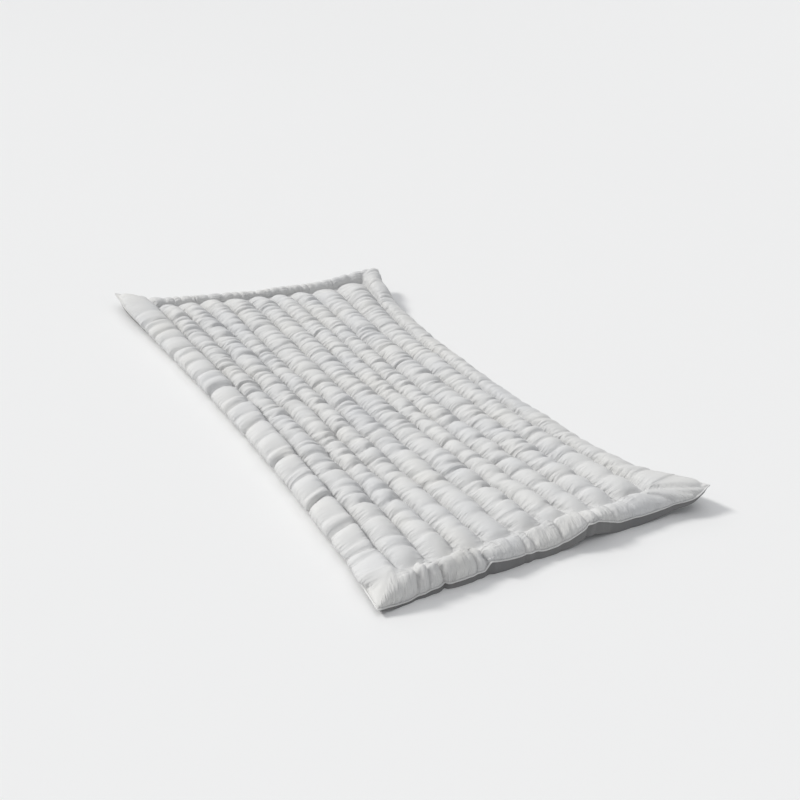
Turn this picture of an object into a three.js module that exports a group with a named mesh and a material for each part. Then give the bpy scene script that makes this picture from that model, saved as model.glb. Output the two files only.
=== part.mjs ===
// Guest mattress, 120 by 200 cm: a filled pad, quilted in lengthwise channels inside a plain border.
//
// Millimetres, +Z up. X runs across the width and Y along the length, with the near end at -Y. The pad is
// modelled as it lies: drawn in at its waist, with its corners pulled out and three of them lifted off
// the ground.
//
// A place on the pad has two pattern coordinates. The lane counts the lengthwise lines: 0 is the left
// rim, 1 to 10 are the seams and 11 is the right rim. The zone counts the lines across: 0 is the near
// rim, 1 and 2 are the two cross seams, and 3 is the far rim. A fraction between two lines lies between
// them.

import * as THREE from "three";

// Driving dimensions
const LENGTH = 2000;
const BORDER = 100;
const SEAM_HEIGHT = 43;
const CROWN = 33;
const END_ROUNDING = 60;
const GROOVE_DEPTH = 5;
const GROOVE_HALF_WIDTH = 14;
const PIPING_RADIUS = 2.3;
const PIPING_GAP = 0.35;
const PIPING_SIDES = 6;

const SEAM_Y = LENGTH / 2 - BORDER;
const NEAR_RIM_Y = -LENGTH / 2 + 2;
const FAR_RIM_Y = LENGTH / 2 - 10;

// The left rim, and the width of each channel from left to right, at five stations from the near cross
// seam to the far one. The first and last channels are the side borders.
const STATIONS = { near: -SEAM_Y, low: -SEAM_Y / 2, mid: 0, high: SEAM_Y / 2, far: SEAM_Y };
const LEFT_RIM = { near: -574, low: -563, mid: -564, high: -583, far: -618 };
const CHANNELS = [
  { near: 74, low: 76, mid: 84, high: 86, far: 113 },
  { near: 107, low: 105, mid: 85, high: 92, far: 85 },
  { near: 105, low: 80, mid: 92, high: 97, far: 95 },
  { near: 101, low: 87, mid: 81, high: 78, far: 110 },
  { near: 107, low: 105, mid: 102, high: 118, far: 115 },
  { near: 118, low: 110, mid: 108, high: 106, far: 105 },
  { near: 107, low: 85, mid: 87, high: 96, far: 98 },
  { near: 105, low: 105, mid: 93, high: 95, far: 112 },
  { near: 115, low: 120, mid: 127, high: 120, far: 130 },
  { near: 135, low: 115, mid: 115, high: 122, far: 155 },
  { near: 96, low: 122, mid: 108, high: 116, far: 97 },
];
const LANES = CHANNELS.length;
const USUAL_WIDTH = 105;

// Height of the rim, and of the crest of the border inside it, along each edge. "at" is X on the two ends
// and Y on the two sides.
const NEAR_EDGE = [
  { at: -600, rim: 18, crest: 62 },
  { at: -500, rim: 9, crest: 68 },
  { at: -400, rim: 22, crest: 70 },
  { at: -270, rim: 25, crest: 61 },
  { at: -225, rim: 46, crest: 76 },
  { at: -100, rim: 38, crest: 69 },
  { at: 0, rim: 29, crest: 66 },
  { at: 90, rim: 38, crest: 73 },
  { at: 185, rim: 44, crest: 78 },
  { at: 430, rim: 39, crest: 79 },
  { at: 620, rim: 35, crest: 74 },
  { at: 730, rim: 36, crest: 72 },
];
const FAR_EDGE = [
  { at: -620, rim: 32, crest: 76 },
  { at: -480, rim: 34, crest: 62 },
  { at: -20, rim: 34, crest: 59 },
  { at: 50, rim: 38, crest: 74 },
  { at: 250, rim: 38, crest: 72 },
  { at: 500, rim: 38, crest: 80 },
  { at: 650, rim: 36, crest: 88 },
];
const LEFT_EDGE = [
  { at: -1000, rim: 18, crest: 62 },
  { at: -600, rim: 14, crest: 68 },
  { at: 500, rim: 14, crest: 68 },
  { at: 1000, rim: 32, crest: 76 },
];
const RIGHT_EDGE = [
  { at: -1000, rim: 36, crest: 80 },
  { at: -700, rim: 36, crest: 73 },
  { at: 700, rim: 36, crest: 71 },
  { at: 1000, rim: 36, crest: 82 },
];

// How far each corner is pulled out across and along the pad, how far along the rim that is felt, how
// high the corner is lifted, and how far inwards the lift reaches.
const CORNERS = [
  { lane: 0, zone: 0, across: -22, along: -6, pull: 190, lift: 0, reach: 200 },
  { lane: LANES, zone: 0, across: 122, along: -4, pull: 350, lift: 42, reach: 280 },
  { lane: 0, zone: 3, across: -8, along: 68, pull: 190, lift: 20, reach: 230 },
  { lane: LANES, zone: 3, across: 40, along: 4, pull: 130, lift: 62, reach: 540 },
];

// The low arch where the near end stands off the ground.
const ARCH = { x: 180, halfWidth: 130, height: 30, depth: 170 };

// Gathers: troughs that cross each channel, and the pillows between them. Their spacing varies by the
// given share of its mean, a trough drifts along its channel by up to half the drift, and some troughs
// are faint.
const GATHERS = 30;
const SPACING_SPREAD = 0.7;
const SHALLOW_TROUGH = 5;
const DEEP_TROUGH = 11;
const FAINT_TROUGH = 1.5;
const FAINT_SHARE = 0.15;
const CREST_TROUGH = 0.65;
const BORDER_TROUGH = 0.7;
const TROUGH_DRIFT = 16;
const TROUGH_SLANT = 1.6;
const DEEPEST_PLEAT = 8;
const PLEAT_LIMIT = 0.4;

// Columns and rows of points on the top. A cell from one gather to the next has a row in the trough and
// two on the pillow.
const CHANNEL_COLUMNS = [0, 0.17, 0.5, 0.83];
const CELL_ROWS = [0, 0.3, 0.7];
const BORDER_STEPS = [0, 0.1, 0.32, 0.64];

// The underside: rings between the rim and the ground, and where the pad first touches it.
const UNDERSIDE_ROWS = 9;
const CONTACT = 0.3;
const UNDERSIDE_RINGS = [
  { inset: 0, height: 0.5 },
  { inset: 0.05, height: 0.12 },
];

// Numbers that keep the uneven draws of one kind apart from those of another.
const DRAW = { spacing: 77, faint: 20, drift: 40, slant: 60, nearPleat: 5, farPleat: 6 };

// A repeatable number from 0 to 1 for each pair of whole numbers.
function uneven(a, b) {
  const wave = Math.sin(a * 127.1 + b * 311.7 + 41.3) * 43758.5453;
  return wave - Math.floor(wave);
}

function mix(a, b, share) {
  return a + (b - a) * share;
}

function clamp01(value) {
  return Math.min(1, Math.max(0, value));
}

// 1 in the middle of a puffed strip and 0 at its two sewn edges, steep beside the seams.
function puff(share) {
  const away = 2 * share - 1;
  const steepness = 0.62;
  return Math.pow(Math.max(0, 1 - away * away), steepness);
}

// 1 at the start of a fade and 0 where it ends, level at its end.
function fade(distance, reach) {
  const left = Math.max(0, 1 - distance / reach);
  return left * left;
}

// Much the same as a fade, but nearly straight on the way.
function taper(distance, reach) {
  const bend = 1.3;
  return Math.pow(Math.max(0, 1 - distance / reach), bend);
}

// 1 in the middle of a hump and 0 on both sides of it.
function hump(distance, halfWidth) {
  const inside = Math.max(0, 1 - (distance / halfWidth) ** 2);
  return inside * inside;
}

// X of all lengthwise lines at one place along the pad.
const stationNames = Object.keys(STATIONS);
const linePositions = stationNames.flatMap((station) => {
  let x = LEFT_RIM[station];
  return [x, ...CHANNELS.map((channel) => (x += channel[station]))];
});
const lineSpline = new THREE.CubicInterpolant(Object.values(STATIONS), linePositions, LANES + 1);

function linesAt(y) {
  return Array.from(lineSpline.evaluate(y));
}

// The channel that a lane lies in, and how far across it.
function channelOf(lane) {
  const channel = Math.min(LANES - 1, Math.floor(lane));
  return { channel, share: lane - channel };
}

// One column of an edge's table, read at a place between its rows.
function readEdge(table, column, at) {
  let row = 0;
  while (row < table.length - 2 && table[row + 1].at < at) {
    row += 1;
  }
  const [from, to] = [table[row], table[row + 1]];
  const share = clamp01((at - from.at) / (to.at - from.at));
  return mix(from[column], to[column], share * share * (3 - 2 * share));
}

// How far a place is inside the border: 0 on the rim, 1 on the seam and beyond it.
function sideStep(lane) {
  return clamp01(Math.min(lane, LANES - lane));
}

function endStep(zone) {
  return clamp01(Math.min(zone, 3 - zone));
}

// Plan position of a place given by lane and zone.
function plan(lane, zone) {
  const inner = clamp01(zone - 1);
  const seamY = mix(-SEAM_Y, SEAM_Y, inner);
  let y = seamY;
  if (zone < 1) {
    y = mix(NEAR_RIM_Y, -SEAM_Y, zone);
  } else if (zone > 2) {
    y = mix(SEAM_Y, FAR_RIM_Y, zone - 2);
  }
  const lines = linesAt(seamY);
  const { channel, share } = channelOf(lane);
  const x = mix(lines[channel], lines[channel + 1], share);
  const place = new THREE.Vector2(x, y);
  const nearRim = 1 - Math.min(sideStep(lane), endStep(zone));
  for (const corner of CORNERS) {
    const tip = cornerBase(corner);
    const pull = nearRim * taper(Math.hypot(x - tip.x, y - tip.y), corner.pull);
    place.x += corner.across * pull;
    place.y += corner.along * pull;
  }
  return place;
}

// Where a corner would be if it weren't pulled out.
function cornerBase(corner) {
  const seamY = corner.zone === 0 ? -SEAM_Y : SEAM_Y;
  const rimY = corner.zone === 0 ? NEAR_RIM_Y : FAR_RIM_Y;
  return new THREE.Vector2(linesAt(seamY)[corner.lane], rimY);
}

// How far the whole thickness of the pad is lifted off the ground.
function liftAt(place) {
  let lift = 0;
  for (const corner of CORNERS) {
    const tip = cornerBase(corner);
    const distance = Math.hypot(place.x - tip.x - corner.across, place.y - tip.y - corner.along);
    lift += corner.lift * fade(distance, corner.reach);
  }
  const arch = hump(place.x - ARCH.x, ARCH.halfWidth) * fade(place.y - NEAR_RIM_Y, ARCH.depth);
  return lift + ARCH.height * arch;
}

// Rim and crest height of the border at a place. The tables of both edges blend over a mitred corner.
function borderHeights(lane, zone, place) {
  const side = lane < LANES / 2 ? LEFT_EDGE : RIGHT_EDGE;
  const end = zone < 1.5 ? NEAR_EDGE : FAR_EDGE;
  const towardsSide = clamp01(0.5 + endStep(zone) - sideStep(lane));
  const height = (column) => {
    const atEnd = readEdge(end, column, place.x);
    return mix(atEnd, readEdge(side, column, place.y), towardsSide);
  };
  return { rim: height("rim"), crest: height("crest") };
}

// Depth of the trough at a gather. It is deepest on the shoulders of a channel and gone at the seams.
function troughDepth(lane, gather) {
  const { channel, share } = channelOf(lane);
  if (share === 0 || gather === null) {
    return 0;
  }
  const faint = uneven(channel + DRAW.faint, gather) < FAINT_SHARE;
  const depth = faint ? FAINT_TROUGH : mix(SHALLOW_TROUGH, DEEP_TROUGH, uneven(channel, gather));
  return share === 0.5 ? depth * CREST_TROUGH : depth;
}

// Height of the top on the border: a roll between the rim and the seam, pressed in by its pleats and
// gathers.
function borderTop(lane, zone, place, trough, pleat) {
  const step = Math.min(sideStep(lane), endStep(zone));
  const { rim, crest } = borderHeights(lane, zone, place);
  const rise = crest - mix(rim, SEAM_HEIGHT, 0.5);
  const pressed = Math.min(pleat, rise * PLEAT_LIMIT) + trough * BORDER_TROUGH;
  return mix(rim, SEAM_HEIGHT, step) + (rise - pressed) * puff(step);
}

// Height of the top on the channels between the cross seams, rounded off towards both.
function channelTop(lane, place, trough) {
  const { channel, share } = channelOf(lane);
  const lines = linesAt(place.y);
  const width = lines[channel + 1] - lines[channel];
  const fromEnd = clamp01((SEAM_Y - Math.abs(place.y)) / END_ROUNDING);
  const rounded = Math.sqrt(1 - (1 - fromEnd) ** 2);
  const rise = CROWN * Math.sqrt(width / USUAL_WIDTH) * puff(share);
  return SEAM_HEIGHT + (rise - trough) * rounded;
}

function topHeight(lane, zone, place, gather, pleat) {
  const onBorder = Math.min(sideStep(lane), endStep(zone)) < 1;
  const trough = troughDepth(lane, gather);
  const height = onBorder ? borderTop(lane, zone, place, trough, pleat) : channelTop(lane, place, trough);
  return liftAt(place) + height;
}

// Depth of the fold that a column of the top makes in the border of one end.
function pleatDepth(column, atNearEnd) {
  const hasPleat = column % 2 === 0;
  return hasPleat ? DEEPEST_PLEAT * uneven(column, atNearEnd ? DRAW.nearPleat : DRAW.farPleat) : 0;
}

// Lanes of the columns of the top, and zones of its rows with the gather that each row belongs to.
function topColumns() {
  const columns = [];
  for (let channel = 0; channel < LANES; channel += 1) {
    let shares = CHANNEL_COLUMNS;
    if (channel === 0) {
      shares = BORDER_STEPS;
    } else if (channel === LANES - 1) {
      shares = [0, ...BORDER_STEPS.slice(1).reverse().map((share) => 1 - share)];
    }
    columns.push(...shares.map((share) => channel + share));
  }
  return [...columns, LANES];
}

function topRows() {
  const borderRow = (zone) => ({ zone, cell: null, share: 0, gather: null });
  const rows = BORDER_STEPS.map(borderRow);
  const spacings = Array.from({ length: GATHERS }, (_, cell) => {
    return 1 + SPACING_SPREAD * (uneven(cell, DRAW.spacing) - 0.5);
  });
  const total = spacings.reduce((sum, spacing) => sum + spacing, 0);
  let start = 0;
  spacings.forEach((spacing, cell) => {
    for (const share of CELL_ROWS) {
      const gather = share === 0 && cell > 0 ? cell : null;
      rows.push({ zone: 1 + (start + share * spacing) / total, cell, share, gather });
    }
    start += spacing;
  });
  const farSteps = BORDER_STEPS.slice(1).reverse().map((step) => 3 - step);
  return [...rows, ...[2, ...farSteps, 3].map(borderRow)];
}

// A trough doesn't run straight across: it drifts and slants a little in each channel, but not at the
// seams. The rows of a pillow follow the troughs on both sides of it.
function rowDrift(lane, row) {
  if (row.cell === null) {
    return 0;
  }
  const { channel, share } = channelOf(lane);
  const drift = (gather) => {
    if (gather === 0 || gather === GATHERS) {
      return 0;
    }
    const slant = (uneven(channel + DRAW.slant, gather) - 0.5) * (share - 0.5);
    return uneven(channel + DRAW.drift, gather) - 0.5 + TROUGH_SLANT * slant;
  };
  return TROUGH_DRIFT * puff(share) * mix(drift(row.cell), drift(row.cell + 1), row.share);
}

// A closed mesh is collected here as corner points and triangles.
class Body {
  constructor() {
    this.positions = [];
    this.triangles = [];
  }

  point(x, y, z) {
    this.positions.push(x, y, z);
    return this.positions.length / 3 - 1;
  }

  triangle(a, b, c) {
    this.triangles.push(a, b, c);
  }

  quad(a, b, c, d, flipped) {
    if (flipped) {
      this.triangle(a, b, d);
      this.triangle(b, c, d);
    } else {
      this.triangle(a, b, c);
      this.triangle(a, c, d);
    }
  }

  x(point) {
    return this.positions[point * 3];
  }

  y(point) {
    return this.positions[point * 3 + 1];
  }

  z(point) {
    return this.positions[point * 3 + 2];
  }

  geometry() {
    const geometry = new THREE.BufferGeometry();
    geometry.setAttribute("position", new THREE.Float32BufferAttribute(this.positions, 3));
    geometry.setIndex(this.triangles);
    geometry.computeVertexNormals();
    return geometry;
  }
}

// The four sides of a grid of points, each from corner to corner, running round with the pad on the left.
function gridSides(grid) {
  const lastRow = grid.length - 1;
  const lastColumn = grid[0].length - 1;
  return [
    grid[0].slice(),
    grid.map((row) => row[lastColumn]),
    grid[lastRow].slice().reverse(),
    grid.map((row) => row[0]).reverse(),
  ];
}

// Triangles between two matching sides with unlike numbers of points.
function zip(body, outer, inner, axis) {
  const outerSpan = body[axis](outer.at(-1)) - body[axis](outer[0]);
  const innerSpan = body[axis](inner.at(-1)) - body[axis](inner[0]);
  const outerShare = (i) => (body[axis](outer[i]) - body[axis](outer[0])) / outerSpan;
  const innerShare = (i) => (body[axis](inner[i]) - body[axis](inner[0])) / innerSpan;
  let o = 0;
  let i = 0;
  while (o < outer.length - 1 || i < inner.length - 1) {
    const outerNext = o < outer.length - 1 ? outerShare(o + 1) : Infinity;
    const innerNext = i < inner.length - 1 ? innerShare(i + 1) : Infinity;
    if (outerNext <= innerNext) {
      body.triangle(outer[o], inner[i], outer[o + 1]);
      o += 1;
    } else {
      body.triangle(outer[o], inner[i], inner[i + 1]);
      i += 1;
    }
  }
}

// The quilted top, as a grid of points.
function addTop(body, columns, rows) {
  const grid = rows.map((row) =>
    columns.map((lane, column) => {
      const zone = row.zone + rowDrift(lane, row) / (2 * SEAM_Y);
      const place = plan(lane, zone);
      const pleat = pleatDepth(column, row.zone < 1);
      return body.point(place.x, place.y, topHeight(lane, zone, place, row.gather, pleat));
    }),
  );
  straightenRim(body, grid);
  for (let row = 0; row < rows.length - 1; row += 1) {
    for (let column = 0; column < columns.length - 1; column += 1) {
      const flipped = (row < rows.length / 2) !== (column < columns.length / 2);
      const [near, far] = [grid[row], grid[row + 1]];
      body.quad(near[column], near[column + 1], far[column + 1], far[column], flipped);
    }
  }
  return grid;
}

// Every second point of the rim lies straight between its neighbours, where the piping has no corner
// either.
function straightenRim(body, grid) {
  for (const side of gridSides(grid)) {
    for (let i = 1; i < side.length - 1; i += 2) {
      for (let axis = 0; axis < 3; axis += 1) {
        const before = body.positions[side[i - 1] * 3 + axis];
        const after = body.positions[side[i + 1] * 3 + axis];
        body.positions[side[i] * 3 + axis] = (before + after) / 2;
      }
    }
  }
}

// A ring of points a given step inside the rim, one for each point of the rim.
function insetRing(body, rimSides, columns, rows, ring) {
  const squeezeLane = (lane) => mix(ring.inset, LANES - ring.inset, lane / LANES);
  const squeezeZone = (zone) => mix(ring.inset, 3 - ring.inset, zone / 3);
  const lanes = columns.map(squeezeLane);
  const zones = rows.map((row) => squeezeZone(row.zone));
  const paths = [
    lanes.map((lane) => [lane, ring.inset]),
    zones.map((zone) => [LANES - ring.inset, zone]),
    lanes.map((lane) => [lane, 3 - ring.inset]).reverse(),
    zones.map((zone) => [ring.inset, zone]).reverse(),
  ];
  const sides = paths.map((path, side) =>
    path.slice(0, -1).map(([lane, zone], i) => {
      const place = plan(lane, zone);
      const lift = liftAt(place);
      const rimHeight = body.z(rimSides[side][i]) - lift;
      return body.point(place.x, place.y, lift + rimHeight * ring.height);
    }),
  );
  return sides.map((side, i) => [...side, sides[(i + 1) % 4][0]]);
}

// The underside: flat on the ground, with a shallow groove along each seam.
function addUnderside(body) {
  const lanes = [{ lane: CONTACT, shift: 0, groove: false }];
  for (let line = 1; line < LANES; line += 1) {
    lanes.push({ lane: line, shift: -GROOVE_HALF_WIDTH, groove: false });
    lanes.push({ lane: line, shift: 0, groove: true });
    lanes.push({ lane: line, shift: GROOVE_HALF_WIDTH, groove: false });
  }
  lanes.push({ lane: LANES - CONTACT, shift: 0, groove: false });
  const zones = [{ zone: CONTACT, shift: 0, groove: false }];
  for (let row = 0; row <= UNDERSIDE_ROWS; row += 1) {
    const zone = 1 + row / UNDERSIDE_ROWS;
    const isSeam = row === 0 || row === UNDERSIDE_ROWS;
    if (isSeam) {
      zones.push({ zone, shift: -GROOVE_HALF_WIDTH, groove: false });
    }
    zones.push({ zone, shift: 0, groove: isSeam });
    if (isSeam) {
      zones.push({ zone, shift: GROOVE_HALF_WIDTH, groove: false });
    }
  }
  zones.push({ zone: 3 - CONTACT, shift: 0, groove: false });
  return zones.map((across) =>
    lanes.map((along) => {
      const place = plan(along.lane, across.zone);
      place.x += along.shift;
      place.y += across.shift;
      const betweenEnds = across.zone >= 1 && across.zone <= 2;
      const betweenSides = along.lane >= 1 && along.lane <= LANES - 1;
      const grooved = (along.groove && betweenEnds) || (across.groove && betweenSides);
      return body.point(place.x, place.y, liftAt(place) + (grooved ? GROOVE_DEPTH : 0));
    }),
  );
}

function makeMattress() {
  const body = new Body();
  const columns = topColumns();
  const rows = topRows();
  const rimSides = gridSides(addTop(body, columns, rows));
  let sides = rimSides;
  for (const ring of UNDERSIDE_RINGS) {
    const next = insetRing(body, rimSides, columns, rows, ring);
    sides.forEach((side, number) => {
      for (let i = 0; i < side.length - 1; i += 1) {
        body.quad(side[i], next[number][i], next[number][i + 1], side[i + 1], false);
      }
    });
    sides = next;
  }
  const underside = addUnderside(body);
  for (let row = 0; row < underside.length - 1; row += 1) {
    for (let column = 0; column < underside[0].length - 1; column += 1) {
      const [near, far] = [underside[row], underside[row + 1]];
      body.quad(near[column], far[column], far[column + 1], near[column + 1], false);
    }
  }
  gridSides(underside).forEach((inner, number) => {
    zip(body, sides[number], inner, number % 2 === 0 ? "x" : "y");
  });
  const rim = rimSides.flatMap((side) => side.slice(0, -1)).filter((_, i) => i % 2 === 0);
  const spots = rim.map((point) => new THREE.Vector3(body.x(point), body.y(point), body.z(point)));
  return { geometry: body.geometry(), rim: spots };
}

// A cord round a closed line of points, laid just outside it.
function makePiping(rim) {
  const body = new Body();
  const up = new THREE.Vector3(0, 0, 1);
  const count = rim.length;
  const rings = rim.map((point, i) => {
    const before = rim[(i + count - 1) % count];
    const after = rim[(i + 1) % count];
    const intoPoint = point.clone().sub(before).normalize();
    const fromPoint = after.clone().sub(point).normalize();
    const along = intoPoint.clone().add(fromPoint).normalize();
    const outward = along.clone().cross(up).normalize();
    const mitre = Math.min(2, 1 / Math.max(0.5, along.dot(fromPoint)));
    const centre = point.clone().addScaledVector(outward, (PIPING_RADIUS + PIPING_GAP) * mitre);
    const upright = outward.clone().cross(along).normalize();
    return Array.from({ length: PIPING_SIDES }, (_, side) => {
      const angle = (2 * Math.PI * side) / PIPING_SIDES;
      const spot = centre.clone();
      spot.addScaledVector(outward, PIPING_RADIUS * Math.cos(angle));
      spot.addScaledVector(upright, PIPING_RADIUS * Math.sin(angle));
      return body.point(spot.x, spot.y, spot.z);
    });
  });
  rings.forEach((ring, i) => {
    const next = rings[(i + 1) % count];
    for (let side = 0; side < PIPING_SIDES; side += 1) {
      const other = (side + 1) % PIPING_SIDES;
      body.quad(ring[side], next[side], next[other], ring[other], false);
    }
  });
  return body.geometry();
}

const ticking = new THREE.MeshStandardMaterial({ color: 0xd9d9d4, roughness: 0.9, metalness: 0 });
const cord = new THREE.MeshStandardMaterial({ color: 0xe2e2de, roughness: 0.85, metalness: 0 });

const pad = makeMattress();
const mattress = new THREE.Mesh(pad.geometry, ticking);
mattress.name = "mattress";
const piping = new THREE.Mesh(makePiping(pad.rim), cord);
piping.name = "piping";

const guestMattress = new THREE.Group();
guestMattress.add(mattress, piping);

// The origin is the middle of the underside of the box around everything.
const box = new THREE.Box3().setFromObject(guestMattress);
const middle = box.getCenter(new THREE.Vector3());
guestMattress.position.set(-middle.x, -middle.y, -box.min.z);

export default guestMattress;
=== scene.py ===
# %% [markdown]
# # A quilted guest mattress
#
# A guest mattress is two panels of cotton ticking, sewn together all round at a piping and stuffed with
# loose fibre. Long seams through both panels hold the fibre in channels. The thread of a seam pulls the
# ticking shorter than it was cut, so each channel gathers into a row of small pillows.
#
# The lesson builds it in that order: the pattern, the top panel, the pull of the thread, the under panel,
# the piping and the stitches, then the finishes, the light and the camera.

# %% The frame that the pieces are dressed on
import math
import time
from collections import namedtuple

import bpy
import numpy as np
from mathutils import Euler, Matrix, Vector


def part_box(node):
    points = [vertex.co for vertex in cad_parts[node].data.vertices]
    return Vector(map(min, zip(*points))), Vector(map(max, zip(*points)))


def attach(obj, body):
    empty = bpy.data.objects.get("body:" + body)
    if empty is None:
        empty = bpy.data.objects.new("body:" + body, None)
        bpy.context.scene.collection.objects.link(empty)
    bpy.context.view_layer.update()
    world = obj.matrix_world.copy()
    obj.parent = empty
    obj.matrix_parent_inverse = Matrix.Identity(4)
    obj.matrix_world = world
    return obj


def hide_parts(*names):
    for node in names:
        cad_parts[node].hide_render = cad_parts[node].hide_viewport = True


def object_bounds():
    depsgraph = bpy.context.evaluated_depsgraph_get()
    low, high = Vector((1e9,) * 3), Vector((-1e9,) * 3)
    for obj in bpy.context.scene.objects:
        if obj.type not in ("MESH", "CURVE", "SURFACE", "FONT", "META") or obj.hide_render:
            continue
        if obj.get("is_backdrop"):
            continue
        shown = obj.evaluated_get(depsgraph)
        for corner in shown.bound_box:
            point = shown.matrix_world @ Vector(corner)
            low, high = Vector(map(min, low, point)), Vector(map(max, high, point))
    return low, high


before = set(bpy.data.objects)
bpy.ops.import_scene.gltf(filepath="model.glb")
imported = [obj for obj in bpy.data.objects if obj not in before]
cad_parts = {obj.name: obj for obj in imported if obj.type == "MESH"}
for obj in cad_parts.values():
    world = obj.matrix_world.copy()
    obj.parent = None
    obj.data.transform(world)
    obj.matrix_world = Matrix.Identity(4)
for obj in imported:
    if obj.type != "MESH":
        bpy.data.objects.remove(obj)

CAD_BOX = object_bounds()
print("frame:", [round(v, 3) for corner in CAD_BOX for v in corner])

# %% [markdown]
# ## The pattern
#
# A place on the pad has two pattern coordinates, so that every seam is a whole number. The lane counts the
# lengthwise lines: 0 is the left rim, 1 to 10 are the seams and 11 is the right rim. The zone counts the
# lines across: 0 is the near rim, 1 and 2 are the cross seams and 3 is the far rim. All sizes are in
# metres. They began as those of the solid model, and some have moved by up to about 3 cm since, to follow
# the photograph.

# %% Sizes of the pad
LENGTH = 2.000
BORDER = 0.100                              # from the rim to the first seam, all round
NEAR_DRAWN_IN, FAR_DRAWN_IN = 0.002, 0.018  # how far the filling draws in the two end rims
USUAL_WIDTH = 0.105                         # of a channel
SEAM_WANDER = 0.0016                        # how far a seam strays from its smooth line

SEAM_Y = LENGTH / 2 - BORDER
NEAR_RIM_Y = -LENGTH / 2 + NEAR_DRAWN_IN
FAR_RIM_Y = LENGTH / 2 - FAR_DRAWN_IN

# The left rim, then the width of each channel from left to right, at five stations along the pad.
#                      near   low    mid    high   far
LEFT_RIM = np.array([-0.574, -0.556, -0.558, -0.577, -0.618])
CHANNELS = np.array([
    [0.074, 0.069, 0.078, 0.080, 0.113],
    [0.107, 0.105, 0.085, 0.092, 0.085],
    [0.105, 0.080, 0.092, 0.097, 0.095],
    [0.101, 0.087, 0.081, 0.078, 0.110],
    [0.107, 0.105, 0.102, 0.118, 0.115],
    [0.118, 0.110, 0.108, 0.106, 0.105],
    [0.107, 0.085, 0.087, 0.096, 0.098],
    [0.105, 0.105, 0.093, 0.095, 0.112],
    [0.115, 0.120, 0.127, 0.120, 0.130],
    [0.135, 0.115, 0.115, 0.122, 0.155],
    [0.096, 0.113, 0.099, 0.108, 0.094],
])
LANES = len(CHANNELS)
STATION_LINES = np.cumsum(np.vstack([LEFT_RIM, CHANNELS]), axis=0).T
STATION_SLOPES = np.gradient(STATION_LINES, axis=0)
print("width at the stations:", (STATION_LINES[:, -1] - STATION_LINES[:, 0]).round(3))

# %% Heights of the borders, and the corners
# Height of the rim and of the crest of the border, along the two ends (by X) and the two sides (by Y).
#                at      rim    crest
NEAR_EDGE = np.array([
    (-0.600, 0.018, 0.062), (-0.500, 0.008, 0.081), (-0.400, 0.018, 0.079), (-0.256, 0.021, 0.066),
    (-0.226, 0.043, 0.074), (-0.100, 0.033, 0.067), (0.000, 0.026, 0.064), (0.090, 0.030, 0.070),
    (0.185, 0.039, 0.074), (0.430, 0.037, 0.077), (0.620, 0.035, 0.073), (0.730, 0.036, 0.072),
])
FAR_EDGE = np.array([
    (-0.620, 0.032, 0.074), (-0.480, 0.026, 0.060), (-0.020, 0.026, 0.057), (0.050, 0.028, 0.065),
    (0.250, 0.028, 0.065), (0.500, 0.036, 0.078), (0.650, 0.036, 0.086),
])
LEFT_EDGE = np.array([
    (-1.000, 0.018, 0.062), (-0.600, 0.011, 0.068), (0.500, 0.011, 0.068), (1.000, 0.032, 0.076),
])
RIGHT_EDGE = np.array([
    (-1.000, 0.036, 0.078), (-0.780, 0.022, 0.067), (0.600, 0.020, 0.065), (1.000, 0.036, 0.082),
])

# How far each corner is pulled out, across and along, how high it is lifted, and how far from its tip the
# pull and the lift reach.
Corner = namedtuple("Corner", "lane zone across along pull_reach lift lift_reach")
CORNERS = [
    Corner(0, 0, -0.022, -0.006, 0.190, 0.000, 0.200),
    Corner(LANES, 0, 0.122, -0.004, 0.350, 0.042, 0.280),
    Corner(0, 3, -0.008, 0.068, 0.190, 0.020, 0.230),
    Corner(LANES, 3, 0.040, 0.004, 0.130, 0.062, 0.540),
]
PULL_POWER = 1.3
# The near right corner is pulled out long. Both its edges bow out, most of all this far from where its
# tip would lie if nothing pulled it.
LONG_CORNER = CORNERS[1]
TIP_BOW, TIP_BOW_AT = 0.016, 0.060
# The near end stands off the ground in one low arch.
ARCH = {"x": 0.180, "half_width": 0.130, "height": 0.030, "depth": 0.170}
print("corners lifted by", [corner.lift for corner in CORNERS])

# %% Curves that shape the pad
# Powers of a puff. With a low one a strip stands up steeply at its seams, with a high one it is round.
BORDER_PUFF, FAR_BORDER_PUFF, CHANNEL_PUFF, CREASE_PUFF, SIDE_PUFF = 0.54, 0.95, 0.72, 0.38, 0.42


def puff(share, power=BORDER_PUFF):
    """1 in the middle of a stuffed strip and 0 at its two seams."""
    return np.maximum(0, 1 - (2 * share - 1) ** 2) ** power


def fade(distance, reach):
    """1 at a place, 0 from its reach on, and steepest close to the place."""
    return np.maximum(0, 1 - distance / reach) ** 2


def hump(distance, half_width):
    """1 at a place and 0 from its half width on, round on top."""
    return np.maximum(0, 1 - (distance / half_width) ** 2) ** 2


def mix(a, b, share):
    return a + (b - a) * share


def ease(share):
    """From 0 to 1 with a level start and end."""
    return share * share * (3 - 2 * share)


def read_edge(edge, column, at):
    """A height from one of the tables of edges, eased from each row to the next."""
    row = np.clip(np.searchsorted(edge[:, 0], at) - 1, 0, len(edge) - 2)
    share = np.clip((at - edge[row, 0]) / (edge[row + 1, 0] - edge[row, 0]), 0, 1)
    return mix(edge[row, column], edge[row + 1, column], ease(share))


steep, gentle = [round(float(puff(0.1, power)), 2) for power in (CREASE_PUFF, FAR_BORDER_PUFF)]
print("a tenth of the way across, a puff has", gentle, "to", steep, "of its height")


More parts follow.
